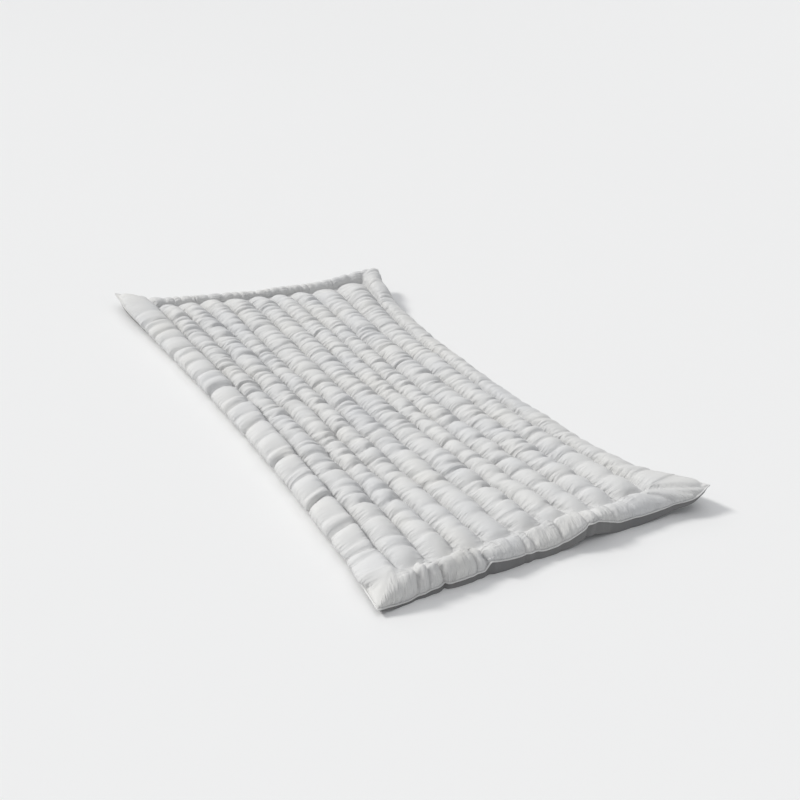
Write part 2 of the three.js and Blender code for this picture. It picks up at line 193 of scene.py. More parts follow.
# %% Where a pattern coordinate lies on the ground
def lines_at(y):
    """X of all twelve lengthwise lines at one place along the pad. The ten seams wander a little."""
    at = np.clip((y + SEAM_Y) / (2 * SEAM_Y) * 4, 0, 4)
    station = np.minimum(3, np.floor(at).astype(int))
    p = (at - station)[..., None]
    start, end = STATION_LINES[station], STATION_LINES[station + 1]
    leave, arrive = STATION_SLOPES[station], STATION_SLOPES[station + 1]
    smooth = 3 * p**2 - 2 * p**3
    # Three waves of 23, 12 and 7 cm, which start at another place for each seam.
    line, along = np.arange(LANES + 1), 2 * math.pi * np.asarray(y)[..., None]
    waves = np.sin(along / 0.23 + 1.7 * line) + np.sin(along / 0.12 + 2.9 * line**2)
    waves = waves + 0.8 * np.sin(along / 0.068 + 4.1 * line)
    wander = SEAM_WANDER * waves * ((line > 0) & (line < LANES))
    return mix(start, end, smooth) + p * (1 - p) * ((1 - p) * leave - p * arrive) + wander


def channel_of(lane):
    """The channel that a lane coordinate lies in, and its share of the way across it."""
    channel = np.minimum(LANES - 1, np.floor(lane)).astype(int)
    return channel, lane - channel


def pick(table, column):
    """One entry of each row of a table."""
    return np.take_along_axis(table, column[..., None], -1)[..., 0]


def side_step(lane):
    """0 at the two side rims, and 1 from the first seam inwards."""
    return np.clip(np.minimum(lane, LANES - lane), 0, 1)


def end_step(zone):
    """0 at the two end rims, and 1 from the cross seam inwards."""
    return np.clip(np.minimum(zone, 3 - zone), 0, 1)


def corner_base(corner):
    """Where the tip of a corner would lie if nothing pulled it."""
    y = -SEAM_Y if corner.zone == 0 else SEAM_Y
    return lines_at(np.array(y))[corner.lane], NEAR_RIM_Y if corner.zone == 0 else FAR_RIM_Y


def plan(lane, zone):
    """X and Y of a pattern place, with the corners pulled out."""
    seam_y = mix(-SEAM_Y, SEAM_Y, np.clip(zone - 1, 0, 1))
    y = np.where(zone < 1, mix(NEAR_RIM_Y, -SEAM_Y, zone), seam_y)
    y = np.where(zone > 2, mix(SEAM_Y, FAR_RIM_Y, zone - 2), y)
    channel, share = channel_of(lane)
    lines = lines_at(seam_y)
    x = mix(pick(lines, channel), pick(lines, channel + 1), share)
    at_rim = 1 - np.minimum(side_step(lane), end_step(zone))
    pulled_x, pulled_y = x.copy(), y.copy()
    for corner in CORNERS:
        tip = corner_base(corner)
        pull = np.maximum(0, 1 - np.hypot(x - tip[0], y - tip[1]) / corner.pull_reach)
        pulled_x += corner.across * at_rim * pull**PULL_POWER
        pulled_y += corner.along * at_rim * pull**PULL_POWER
    tip = corner_base(LONG_CORNER)
    bow = TIP_BOW * hump(np.hypot(x - tip[0], y - tip[1]) - TIP_BOW_AT, TIP_BOW_AT)
    return pulled_x + bow * (1 - side_step(lane)), pulled_y - bow * (1 - end_step(zone))


def lift_at(x, y, arched=1.0):
    """How far the pad is lifted off the ground, at its corners and by a share of the near arch."""
    lift = arched * ARCH["height"] * hump(x - ARCH["x"], ARCH["half_width"])
    lift = lift * fade(np.maximum(0, y - NEAR_RIM_Y), ARCH["depth"])
    for corner in CORNERS:
        tip = corner_base(corner)
        away = np.hypot(x - tip[0] - corner.across, y - tip[1] - corner.along)
        lift = lift + corner.lift * fade(away, corner.lift_reach)
    return lift


print("tips before they are pulled:", [[round(float(v), 3) for v in corner_base(c)] for c in CORNERS])

# %% [markdown]
# ## The stuffed shape
#
# The fibre stands up round in every strip between two seams, and the sewn lines are valleys. A profile
# swept along a channel would show that too, but the channels widen and narrow, and the borders meet at a
# mitre in each corner. So the height is worked out for every pattern place: a channel is the height of its
# seams with a crown on it, and a border is a curve from the rim to the first seam.

# %% Height of the stuffed pad before its seams are pulled
SEAM_HEIGHT = 0.043
CROWN = 0.033                               # height of a channel of the usual width above its seams
END_ROUNDING, FAR_ROUNDING = 0.046, 0.110   # over this length the two ends of a channel round off
LONGER_AT_SEAMS = 1.2                       # and by this share more beside its seams
END_RISE, FAR_RISE = 0.008, -0.006          # height of the two cross seams above the other seams
NEAR_LEFT_MITRE, OTHER_MITRES = 0.15, 0.60  # how softly the heights of two borders meet in a corner
MITRE_WIDTH = 0.3                           # and how gradually their fullness changes there
# The near border is fullest close to its rim, most of all on the left, so it turns a steep face to the
# ground. The far border is evenly round.
NEAR_FULLER, FULLER_FROM, FULLER_OVER = (0.30, 0.12), -0.35, 0.20
NEAR_RIGHT_FLATTER, OTHERS_FLATTER = 0.50, 0.15  # share of its fullness that a tip has lost


def border_heights(lane, zone, x, y):
    """Height of the rim and of the crest of the border, near a pattern place."""
    towards_side = np.clip(0.5 + end_step(zone) - side_step(lane), 0, 1)
    heights = []
    for column in (1, 2):
        at_end = np.where(zone < 1.5, read_edge(NEAR_EDGE, column, x), read_edge(FAR_EDGE, column, x))
        left, right = read_edge(LEFT_EDGE, column, y), read_edge(RIGHT_EDGE, column, y)
        heights.append(mix(at_end, np.where(lane < LANES / 2, left, right), towards_side))
    return heights


def border_step(lane, zone):
    """0 at the rim and 1 at the first seam. The line where two borders meet in a corner is rounded."""
    in_side, in_end = side_step(lane), end_step(zone)
    mitre = np.where((lane < LANES / 2) & (zone < 1.5), NEAR_LEFT_MITRE, OTHER_MITRES)
    soft = mitre * (1 - np.minimum(in_side, in_end)) + 1e-6
    share = np.clip(0.5 + 0.5 * (in_end - in_side) / soft, 0, 1)
    return np.clip(mix(in_end, in_side, share) - soft * share * (1 - share), 0, 1)


def stuffed_height(lane, zone, x, y, dip):
    """Height of the top panel. A dip is how far the gathers press it in."""
    step = border_step(lane, zone)
    rim, crest = border_heights(lane, zone, x, y)
    channel, share = channel_of(lane)
    end_reach = np.where(y > 0, FAR_ROUNDING, END_ROUNDING) * (1 + LONGER_AT_SEAMS * (2 * share - 1) ** 2)
    from_end = np.clip((SEAM_Y - np.abs(y)) / end_reach, 0, 1)
    seam = SEAM_HEIGHT + np.where(y > 0, FAR_RISE, END_RISE) * (1 - from_end) ** 2
    at_end = np.clip((side_step(lane) - end_step(zone)) / MITRE_WIDTH, 0, 1)
    near = at_end * (zone < 1.5) * mix(*NEAR_FULLER, np.clip((x - FULLER_FROM) / FULLER_OVER, 0, 1))
    far = at_end * (zone > 1.5)
    at_tip = np.sqrt((1 - side_step(lane)) * (1 - end_step(zone)))
    flatter = np.where((lane > LANES / 2) & (zone < 1.5), NEAR_RIGHT_FLATTER, OTHERS_FLATTER)
    fullness = (crest - mix(rim, seam, 0.5)) * (1 - at_tip * flatter) - dip
    border_puff = puff(step ** (1 - near), mix(BORDER_PUFF, FAR_BORDER_PUFF, far))
    on_border = mix(rim, seam, step) + fullness * border_puff
    lines = lines_at(np.clip(y, -SEAM_Y, SEAM_Y))
    width = pick(lines, channel + 1) - pick(lines, channel)
    rounded = (from_end * (2 - from_end)) ** 0.75
    rise = CROWN * np.sqrt(width / USUAL_WIDTH)
    on_channel = seam + (rise * puff(share, CHANNEL_PUFF) - dip * puff(share, CREASE_PUFF)) * rounded
    in_border = np.minimum(side_step(lane), end_step(zone)) < 1
    return lift_at(x, y) + np.where(in_border, on_border, on_channel)


# %% A grid of pattern places
STEPS = 18                        # points across a channel
BORDER_ROWS, BODY_ROWS = 18, 324  # rows of an end border, and between the two cross seams
ROW_LENGTH = 2 * SEAM_Y / BODY_ROWS


def closer_at_seams(count):
    """Shares from 0 up to 1 that lie closer together near both ends, where the cloth dives into a seam."""
    even = np.arange(count) / count
    return mix(even, 0.5 - 0.5 * np.cos(math.pi * even), 0.6)


lanes = np.append((np.arange(LANES)[:, None] + closer_at_seams(STEPS)).ravel(), LANES)
zones = np.concatenate([closer_at_seams(BORDER_ROWS), 1 + np.arange(BODY_ROWS) / BODY_ROWS,
                        2 + closer_at_seams(BORDER_ROWS), [3]])
LANE, ZONE = np.meshgrid(lanes, zones)
CHANNEL, SHARE = channel_of(LANE)
ROWS, COLUMNS = LANE.shape
height = stuffed_height(LANE, ZONE, *plan(LANE, ZONE), 0)
print("top panel:", ROWS, "rows of", COLUMNS, "points, stuffed to", round(float(height.max()), 4))

# %% [markdown]
# ## Gathers
#
# A gather is a sharp crease across a channel, with a round pillow on each side of it. A seam pulls at
# random, so a short rule draws them: pillows of 3 to 10 cm, the longest near the near end, and beside many
# creases one or two short ones that start at a seam and fade out on their way across. The left border shows
# its gathers best, so those are set one by one. Every crease lies on a row of the grid, and the row is bent
# to follow it, so that even a thin crease stays sharp.

# %% Places and depths of the gathers
SHORTEST_PILLOW, LONGEST_PILLOW = 0.030, 0.070
STRETCH, STRETCH_OVER = (1.40, 0.85), 0.7  # how much longer pillows are at the near end, and further on
LAST_PILLOW = 0.025                        # the least length that is left for the last pillow
SHALLOW, DEEP = 0.004, 0.018               # the depths of the creases
RIGHT_SMOOTHER = 0.45                      # share of them that the right border's creases keep
# Short creases: the share of places beside a crease that have one, the share that starts at the right
# seam, how far they reach across the channel, and their share of the crease's depth.
SHORT_ONES, SHORT_FROM_RIGHT, SHORT_REACH, SHORT_DEPTH = 0.80, 0.72, (0.35, 0.75), 0.65

# Gathers of the left border, by Y, and their depths.
LEFT_GATHERS = [
    (-0.840, 0.007), (-0.813, 0.020), (-0.785, 0.006), (-0.709, 0.019), (-0.680, 0.005), (-0.576, 0.023),
    (-0.545, 0.007), (-0.461, 0.017), (-0.425, 0.006), (-0.339, 0.022), (-0.300, 0.007), (-0.215, 0.010),
    (-0.119, 0.018), (-0.060, 0.006), (0.020, 0.018), (0.055, 0.007), (0.149, 0.021), (0.205, 0.007),
    (0.266, 0.018), (0.340, 0.009), (0.405, 0.008), (0.469, 0.022), (0.560, 0.008), (0.637, 0.018),
    (0.685, 0.006), (0.720, 0.022), (0.800, 0.006),
]


def uneven(a, b):
    """A fixed number from 0 to 1 for each pair of numbers, with no pattern in it."""
    wave = math.sin(a * 127.1 + b * 311.7 + 41.3) * 43758.5453
    return wave - math.floor(wave)


def creases_of(channel):
    """The creases right across a channel: the row of each and its depth."""
    if channel == 0:
        return [(round((y + SEAM_Y) / ROW_LENGTH), depth) for y, depth in LEFT_GATHERS]
    found, y = [], 0.0
    for number in range(80):
        longer = mix(*STRETCH, min(1, y / STRETCH_OVER))
        y += longer * mix(SHORTEST_PILLOW, LONGEST_PILLOW, uneven(channel, number) ** 1.2)
        if y < 2 * SEAM_Y - LAST_PILLOW:
            depth = mix(SHALLOW, DEEP, uneven(channel + 20, number))
            found.append((round(y / ROW_LENGTH), depth * (RIGHT_SMOOTHER if channel == LANES - 1 else 1)))
    return found


def short_creases_of(channel, creases):
    """The short ones: row, depth, seam (0 left, 1 right) and how far they reach across."""
    found = []
    for number, (row, depth) in enumerate(creases):
        for side in (-1, 1):
            if uneven(channel + 40, number + 0.3 * side) < SHORT_ONES:
                apart = 2 + int(2 * uneven(number, channel + side))
                seam = int(uneven(number, channel + 3 * side) < SHORT_FROM_RIGHT)
                reach = mix(*SHORT_REACH, uneven(channel + 60, number * side))
                found.append((row + side * apart, SHORT_DEPTH * depth, seam, reach))
    return found


CREASES = [creases_of(channel) for channel in range(LANES)]
print("creases:", [len(creases) for creases in CREASES])


# %% The shape of a crease, and soft lumps
def valley(distance, reach):
    """1 in a crease and 0 where the pillow beside it is fullest, round in between."""
    near = np.maximum(0, 1 - np.abs(distance) / reach)
    return 0.55 * near**1.7 + 0.45 * near**6


def rumple(shape, across, along, seed):
    """Soft noise on a grid, with lumps of the given number of points."""
    noise = np.fft.fft2(np.random.default_rng(seed).normal(size=shape))
    f_along, f_across = np.fft.fftfreq(shape[0])[:, None], np.fft.fftfreq(shape[1])[None]
    soft = np.exp(-20 * ((along * f_along) ** 2 + (across * f_across) ** 2))
    lumps = np.real(np.fft.ifft2(noise * soft))
    return lumps / lumps.std()


print("a crease half way to its pillow:", round(float(valley(0.5, 1)), 2), "of its depth")

# %% The gathers of the channels on the grid
DRIFT = 0.020                         # how far a crease is bent along the channel
SLANT = 2.0                           # and how many times as much it slants from seam to seam
SIDE_LEAN = 0.55                      # how a crease of a side border leans, from 0, left, to 1, right
SHORT_HALF_WIDTH = 2.4                # of a short crease, in rows of the grid
PILLOW_SPREAD, LUMPS = 0.004, 0.0018  # how much higher or lower a pillow is, and the lumps of its filling
body = slice(BORDER_ROWS, BORDER_ROWS + BODY_ROWS + 1)
body_rows = np.arange(BODY_ROWS + 1)[:, None]
DIP, SHIFT_ALONG, SWELL = np.zeros(LANE.shape), np.zeros(LANE.shape), np.zeros(LANE.shape)
for channel, creases in enumerate(CREASES):
    mine = slice(channel * STEPS, (channel + 1) * STEPS + (channel == LANES - 1))
    s = np.where(LANE[:1, mine] == LANES, 1.0, LANE[:1, mine] - channel)
    places = [0] + [row for row, depth in creases] + [BODY_ROWS]
    deep = np.zeros((BODY_ROWS + 1, s.shape[1]))
    for number, (row, depth) in enumerate(creases):
        # A crease leans to one of its seams, where it is deeper.
        lean = SIDE_LEAN if channel in (0, LANES - 1) else uneven(channel + 80, number) ** 1.6
        before, after = (row - places[number]) / 2, (places[number + 2] - row) / 2
        away = body_rows - row
        beside = mix(0.15 + 1.6 * lean, 1.75 - 1.6 * lean, s)
        deep = np.maximum(deep, depth * beside * valley(away, np.where(away < 0, before, after)))
    for row, depth, seam, reach in short_creases_of(channel, creases):
        from_seam = np.abs(s - seam)
        deep = deep + depth * np.maximum(0, 1 - from_seam / reach) * valley(body_rows - row, SHORT_HALF_WIDTH)
    middles = (np.array(places[1:]) + places[:-1]) / 2
    swell = [PILLOW_SPREAD * (2 * uneven(channel, number + 0.7) - 1) for number in range(len(middles))]
    drift = [0] + [uneven(channel + 5, row) - 0.5 for row, depth in creases] + [0]
    slant = [0] + [SLANT * (uneven(channel + 6, row) - 0.5) for row, depth in creases] + [0]
    bow = np.interp(body_rows, places, drift) + np.interp(body_rows, places, slant) * (2 * s - 1)
    DIP[body, mine] = deep
    SWELL[body, mine] = np.interp(body_rows, middles, swell)
    SHIFT_ALONG[body, mine] = DRIFT * puff(s) * bow
SWELL += LUMPS * rumple(LANE.shape, 9, 7, 5)
print("deepest gather", round(DIP.max(), 4))

# %% The cross seams, pushed outwards
# The filling carries the near cross seam outwards, more on the left, so the near border is the narrower one.
NEAR_SEAM_OUT, CARRIED_OVER = (0.034, 0.020), 0.250
# The end of each channel pushes its cross seam out into a scallop.
END_PUSH, PUSHED_OVER = 0.016, 0.060

from_cross = np.abs(ZONE - 1) * np.where(ZONE > 1, 2 * SEAM_Y, BORDER)
carried = np.where(ZONE > 1, fade(from_cross, CARRIED_OVER), np.maximum(0, 1 - from_cross / BORDER))
SHIFT_ALONG -= mix(*NEAR_SEAM_OUT, LANE / LANES) * carried * side_step(LANE)
in_channels = (CHANNEL > 0) & (CHANNEL < LANES - 1)
pushes = np.array([[uneven(channel, 91 + end) for channel in range(LANES)] for end in (0, 1)])
for end, sign in ((0, -1), (1, 1)):
    from_cross = np.abs(ZONE - 1 - end) * np.where((ZONE > 1) & (ZONE < 2), 2 * SEAM_Y, BORDER)
    scallop = END_PUSH * (0.3 + pushes[end][CHANNEL]) * puff(SHARE) * fade(from_cross, PUSHED_OVER)
    SHIFT_ALONG += sign * in_channels * scallop
print("cloth shifted along by", round(SHIFT_ALONG.min(), 3), "to", round(SHIFT_ALONG.max(), 3))

# %% [markdown]
# ## Pleats and corner folds
#
# In the two end borders the gathers run the other way, from the rim to the cross seam, and here they are
# called pleats. Those of the near border face the viewer, so they are set one by one, and a rule draws
# those of the far border. In a corner two borders meet, and a few folds fan out from the seams to the tip.

# %% The pleats of the two end borders
NEAR_LOBES, FAR_LOBES = 0.0075, 0.0015  # how much fuller or flatter the cloth is between two pleats
LOBE_LEAN = 1.5                         # how far a full one leans in over the channels, for its fullness
PLEAT_REACH = 0.010, 0.030              # the narrowest and the widest half of a pleat
# Pleats of the near border: X half way across it, depth, the share of that at the rim and at the seam, and
# how far the pleat has slid along the rim.
NEAR_PLEATS = [
    (-0.515, 0.004, 0.4, 1.6, 0.000), (-0.461, 0.025, 1.2, 1.0, 0.006), (-0.433, 0.018, 1.4, 0.9, 0.008),
    (-0.396, 0.029, 1.4, 1.1, 0.024), (-0.345, 0.003, 0.3, 1.6, 0.000), (-0.298, 0.007, 0.6, 1.4, 0.006),
    (-0.277, 0.019, 1.5, 0.4, 0.012), (-0.238, 0.030, 1.3, 0.9, 0.018), (-0.180, 0.003, 0.3, 1.6, 0.000),
    (-0.130, 0.003, 0.5, 1.5, 0.000), (-0.084, 0.012, 1.6, 0.3, 0.000), (-0.052, 0.020, 1.2, 0.9, 0.008),
    (0.000, 0.003, 0.6, 1.3, 0.000), (0.063, 0.018, 1.0, 1.0, 0.000), (0.100, 0.004, 1.2, 0.7, 0.000),
    (0.152, 0.023, 1.2, 0.9, 0.006), (0.198, 0.015, 1.3, 0.7, 0.000), (0.240, 0.003, 0.7, 1.2, 0.000),
    (0.271, 0.011, 1.4, 0.6, 0.000), (0.310, 0.003, 0.6, 1.4, 0.000), (0.354, 0.008, 0.6, 1.4, 0.000),
    (0.400, 0.004, 0.5, 1.5, 0.000), (0.473, 0.004, 0.4, 1.6, 0.000),
]
# The same for the far border: a deep one by the left corner, and the others by rule.
FAR_COUNT = 28
FAR_PLEATS = [(-0.515, 0.024, 0.5, 1.5, 0.000)] + [
    (mix(-0.48, 0.52, (k + uneven(k, 3)) / FAR_COUNT), mix(0.006, 0.016, uneven(k, 5)),
     0.2 + 0.3 * uneven(k, 7), 1.3 - 0.3 * uneven(k, 7), 0.008 * (uneven(k, 9) - 0.5))
    for k in range(FAR_COUNT)
]


def press_pleats(pleats, spread, rows, x, from_rim):
    """Dip of the pleats of one end, how far they shift the cloth along it, and how full each lobe is."""
    middle = x[rows][BORDER_ROWS // 2]
    columns = np.array([int(np.argmin(np.abs(middle - pleat[0]))) for pleat in pleats])
    places = np.concatenate([[middle[STEPS // 2]], middle[columns], [middle[-STEPS // 2]]])
    dip = np.zeros(x[rows].shape)
    for number, (column, (_, depth, at_rim, at_seam, _)) in enumerate(zip(columns, pleats)):
        away = x[rows] - x[rows][:, [column]]
        before, after = places[number + 1] - places[number], places[number + 2] - places[number + 1]
        reach = np.clip(np.where(away < 0, before, after) / 2, *PLEAT_REACH)
        dip = np.maximum(dip, depth * mix(at_rim, at_seam, from_rim) * valley(away, reach))
    slide = np.interp(middle, places, [0] + [pleat[4] for pleat in pleats] + [0])
    lobes = [spread * (2 * uneven(number, len(pleats)) - 1) for number in range(len(places) - 1)]
    fuller = np.interp(middle, (places[1:] + places[:-1]) / 2, lobes) * np.ones(from_rim.shape)
    return dip - fuller, slide * (1 - from_rim) ** 1.5, fuller


def press_ends(x):
    """The same for both ends, on the whole grid, and how far the lobes lean in over the channels."""
    dip, shift, lean = np.zeros((3, *x.shape))
    from_rim = end_step(ZONE)
    for pleats, spread, sign, rows in ((NEAR_PLEATS, NEAR_LOBES, 1, slice(0, BORDER_ROWS + 1)),
                                       (FAR_PLEATS, FAR_LOBES, -1, slice(-BORDER_ROWS - 1, None))):
        dip[rows], shift[rows], fuller = press_pleats(pleats, spread, rows, x, from_rim[rows])
        lean[rows] = sign * LOBE_LEAN * fuller * puff(from_rim[rows])
    on_end = from_rim < side_step(LANE)
    return dip * on_end, shift * on_end * side_step(LANE), lean * on_end * side_step(LANE)


print("pleats:", len(NEAR_PLEATS), "near and", len(FAR_PLEATS), "far")

# %% Folds that fan out in the corners
# The corner, the way they run (0 to the side rim, 0.5 to the tip and 1 to the end rim), depth and width.
CORNER_FOLDS = [
    (0, 0, 0.50, 0.004, 0.10), (0, 3, 0.66, 0.013, 0.20), (0, 3, 0.34, 0.004, 0.20),
    (LANES, 3, 0.25, 0.007, 0.16), (LANES, 3, 0.55, 0.009, 0.16), (LANES, 3, 0.82, 0.007, 0.14),
]
FOLD_START = 2.5  # how soon, on its way out from the seams, a fold has its full depth


def press_corners():
    """Dip of the corner folds on the whole grid."""
    dip = np.zeros(LANE.shape)
    a, b = 1 - side_step(LANE), 1 - end_step(ZONE)
    way, along = np.arctan2(b, a) / (math.pi / 2), np.hypot(a, b)
    for lane, zone, run, depth, width in CORNER_FOLDS:
        here = (np.abs(LANE - lane) < 1) & (np.abs(ZONE - zone) < 1)
        fold = depth * valley(way - run, width) * np.clip(FOLD_START * along, 0, 1)
        dip = np.maximum(dip, here * fold)
    return dip


print("deepest corner fold", round(float(press_corners().max()), 4))

# %% [markdown]
# ## The top panel
#
# A gather does more than press the cloth down. It draws its two flanks together, and where it runs out at
# the rim it pinches the rim in. Between two gathers the filling of a side border bulges out over the piping,
# far on the left and little on the right. A displacement by height alone can't hang over an edge, so the
# points are also moved sideways.

# %% The top panel before its thread is pulled
FLANK = 0.50                        # how far the flanks close, for the depth of a gather
PINCH = 0.45                        # how far the rim follows that depth
# Both by side, 1 for the left and -1 for the right: how far the filling bulges out, and the share of that
# which is lost at a deep gather.
SIDE_BULGE = {1: 0.056, -1: 0.008}
BULGE_LOST = {1: 0.62, -1: 0.30}
BULGE_SPREAD = 0.16                 # how much more a fuller pillow bulges


def soften(values):
    """Evens out each value of a row with its neighbours."""
    for _ in range(3):
        padded = np.concatenate([values[:1], values, values[-1:]])
        values = (padded[:-2] + 2 * padded[1:-1] + padded[2:]) / 4
    return values


def lay_out(pressed=1.0):
    """The top panel as a grid of points, with its gathers pressed in by a share of their depth."""
    x, y = plan(LANE, ZONE)
    end_dip, end_shift, end_lean = press_ends(x)
    dip = pressed * np.maximum(np.maximum(DIP, end_dip), press_corners())
    z = stuffed_height(LANE, ZONE, x, y, dip - SWELL * pressed)
    in_side, in_end = side_step(LANE), end_step(ZONE)
    on_end = in_end < in_side
    lines = lines_at(np.clip(y, -SEAM_Y, SEAM_Y))
    width = pick(lines, CHANNEL + 1) - pick(lines, CHANNEL)
    shrink = FLANK * dip / CROWN
    x = x - np.where(on_end, 0, (SHARE - 0.5) * width * shrink * puff(SHARE))
    inwards = np.where(ZONE < 1.5, 1, -1)
    y = y - np.where(on_end, (in_end - 0.5) * BORDER * shrink * puff(in_end), 0) * inwards
    # The bulge of a side fades out beside the two ends.
    end_fade = np.clip((ZONE - 0.6) / 0.4, 0, 1) * np.clip((2.4 - ZONE) / 0.4, 0, 1)
    for column, sign in ((STEPS // 3, 1), (COLUMNS - 1 - STEPS // 3, -1)):
        pinch = PINCH * soften(np.where(on_end[:, column], 0, dip[:, column]))
        on_side = (np.sign(LANES / 2 - LANE) == sign) & ~on_end
        lost = BULGE_LOST[sign] * np.clip(pinch / PINCH / DEEP, 0, 1)
        fuller = 1 - lost + BULGE_SPREAD * SWELL[:, column] / PILLOW_SPREAD
        bulge = SIDE_BULGE[sign] * (1 - in_side) ** 2 * puff(in_side, SIDE_PUFF) * end_fade * fuller[:, None]
        x = x + sign * on_side * (pinch[:, None] * (1 - in_side) ** 2 - bulge)
    for row, sign in ((BORDER_ROWS // 3, 1), (ROWS - 1 - BORDER_ROWS // 3, -1)):
        pinch = PINCH * soften(np.where(on_end[row], dip[row], 0))
        y = y + sign * pinch[None] * (1 - in_end) ** 2 * (np.sign(1.5 - ZONE) == sign)
    return np.stack([x + end_shift * pressed, y + (SHIFT_ALONG + end_lean) * pressed, z], -1)


flat = lay_out().astype(np.float32)
print("laid out:", flat.min((0, 1)).round(3), "to", flat.max((0, 1)).round(3))

# %% [markdown]
# ## The pull of the thread
#
# Blender's Cloth would do for one cushion, but here every seam is held and every channel has cloth to
# spare, which takes it many frames to fold. The same sum is short in numpy. Each point is tied to its
# neighbours at the length that the cloth was cut to, which is longer than the seams are now, and the
# filling pushes it outwards. Rounds of small moves then bring the ties nearer to their lengths.
#
# Left to itself the sum would choose where its creases lie. Here they are drawn already, so it only
# settles them by a few millimetres, and most of their depth is what the rules above gave them.

# %% Cloth that is held at its seams
# How much longer the cloth was cut than its seams are now, as a share.
GATHERED, BORDER_GATHERED = 0.130, 0.100   # along the channels and along the side borders
SLACK_ACROSS, END_GATHERED = 0.020, 0.080  # across the channels and across the two ends


def seams_held():
    """The points that a seam or the rim holds."""
    on_line = (np.abs(LANE - np.round(LANE)) < 1e-6) & (ZONE > 1 - 1e-6) & (ZONE < 2 + 1e-6)
    on_cross = (np.minimum(np.abs(ZONE - 1), np.abs(ZONE - 2)) < 1e-6) & (LANE >= 1) & (LANE <= LANES - 1)
    on_rim = (LANE == 0) | (LANE == LANES) | (ZONE == 0) | (ZONE == 3)
    return on_line | on_cross | on_rim


def cut_lengths(smooth):
    """Lengths that the cloth was cut to, between neighbours along and across."""
    along = np.linalg.norm(np.diff(smooth, axis=0), axis=-1)
    across = np.linalg.norm(np.diff(smooth, axis=1), axis=-1)
    in_end = np.clip((1 - end_step(ZONE)) * 4, 0, 1)
    end_along, end_across = (in_end[1:] + in_end[:-1]) / 2, (in_end[:, 1:] + in_end[:, :-1]) / 2
    spare = np.where(side_step(LANE[1:]) < 1, BORDER_GATHERED, GATHERED)
    return along * (1 + spare * (1 - end_along)), across * (1 + mix(SLACK_ACROSS, END_GATHERED, end_across))


def ties(along, across, stiff):
    """Each kind of tie: the points at its two ends, its length, its firmness, and if it only pushes."""
    a, b, c, d = slice(None), slice(1, None), slice(None, -1), (slice(2, None), slice(None, -2))
    slanted = np.sqrt(along[:, :-1] ** 2 + across[:-1] ** 2)
    return [
        ((c, a), (b, a), along, 1.0, False),
        ((a, c), (a, b), across, 1.0, False),
        ((c, c), (b, b), slanted, 0.5, False),
        ((c, b), (b, c), slanted, 0.5, False),
        ((d[1], a), (d[0], a), along[1:] + along[:-1], stiff, True),
        ((a, d[1]), (a, d[0]), across[:, 1:] + across[:, :-1], stiff, True),
    ]


held = seams_held()
print("held:", int(held.sum()), "of", held.size, "points")

# %% The sum that settles the cloth
SPEED_KEPT, FASTEST = 0.9, 0.0006  # the share of its speed that a point keeps, and the most it keeps
CORRECTED = 0.3                    # share of an error that one pass takes away
LONGEST_MOVE = 0.005               # of a point, from first to last


def settle(sheet, held, tied, rounds, push):
    """Moves the free points towards the lengths of their ties, while the filling pushes outwards."""
    start, free = sheet.copy(), (~held).astype(np.float32)
    speed = np.zeros_like(sheet)
    for _ in range(rounds):
        outwards = np.cross(np.gradient(sheet, axis=1), np.gradient(sheet, axis=0))
        outwards /= np.maximum(np.linalg.norm(outwards, axis=-1, keepdims=True), 1e-12)
        moved = sheet + (SPEED_KEPT * speed + push * outwards) * free[..., None]
        for _ in range(2):
            fix = np.zeros_like(sheet)
            for one, other, length, firmness, only_push in tied:
                gap = moved[other] - moved[one]
                now = np.linalg.norm(gap, axis=-1)
                wrong = now - length
                if only_push:
                    wrong = np.minimum(wrong, 0)
                share = firmness * wrong / np.maximum(now, 1e-9) / np.maximum(free[one] + free[other], 1)
                fix[one] += gap * (share * free[one])[..., None]
                fix[other] -= gap * (share * free[other])[..., None]
            moved += CORRECTED * fix
        speed = moved - sheet
        speed *= np.minimum(1, FASTEST / np.maximum(np.linalg.norm(speed, axis=-1, keepdims=True), 1e-12))
        sheet = moved
    away = sheet - start
    far = np.linalg.norm(away, axis=-1, keepdims=True)
    return start + away * np.minimum(1, LONGEST_MOVE / np.maximum(far, 1e-12))


# %% Gathering the top panel
START_CREASE, BORDER_CREASE = 0.0010, 0.7  # fine lumps that the sum starts from, and the borders' share
BEND, PUSH = 0.05, 0.00003                 # firmness against bending, and the push of the filling
clock = time.time()
ROUNDS = 60
tied = ties(*[lengths.astype(np.float32) for lengths in cut_lengths(lay_out(0))], BEND)
sheet = flat.copy()
loose = np.where(np.minimum(side_step(LANE), end_step(ZONE)) < 1, BORDER_CREASE, puff(SHARE))
sheet[..., 2] += (~held) * loose * START_CREASE * rumple(LANE.shape, 5, 2, 11)
sheet = settle(sheet.astype(np.float32), held, tied, ROUNDS, PUSH)
moved = np.linalg.norm(sheet - flat, axis=-1)
print("gathered in", round(time.time() - clock, 1), "s; moved by", round(1000 * float(moved.mean()), 1),
      "mm on average and", round(1000 * float(moved.max()), 1), "mm at most")

# %% [markdown]
# ## Keeping the cloth inside its seams
#
# The sum does not know when cloth meets cloth. Collisions between all its points would be slow, and a pad
# can mostly run through itself in two kinds of place: at a seam, and where a border hangs over its rim. So
# each channel is held between its own two seams, and each border above its own rim.

# %% Keeping the cloth inside its seams
OVERHANG = {"left": 0.020, "right": 0.006, "near": -0.001, "far": 0.0}  # the most that a border may hang over
OVER_FROM, OVER_RISE = 0.004, 0.012    # the height over the rim where that starts, and over which it grows
POINT_RISE, SEAM_GAP = 0.0012, 0.0002  # the least rise and the least step from one point to the next
CORNER_SLACK = 0.03                    # how much looser the borders are held beside a corner


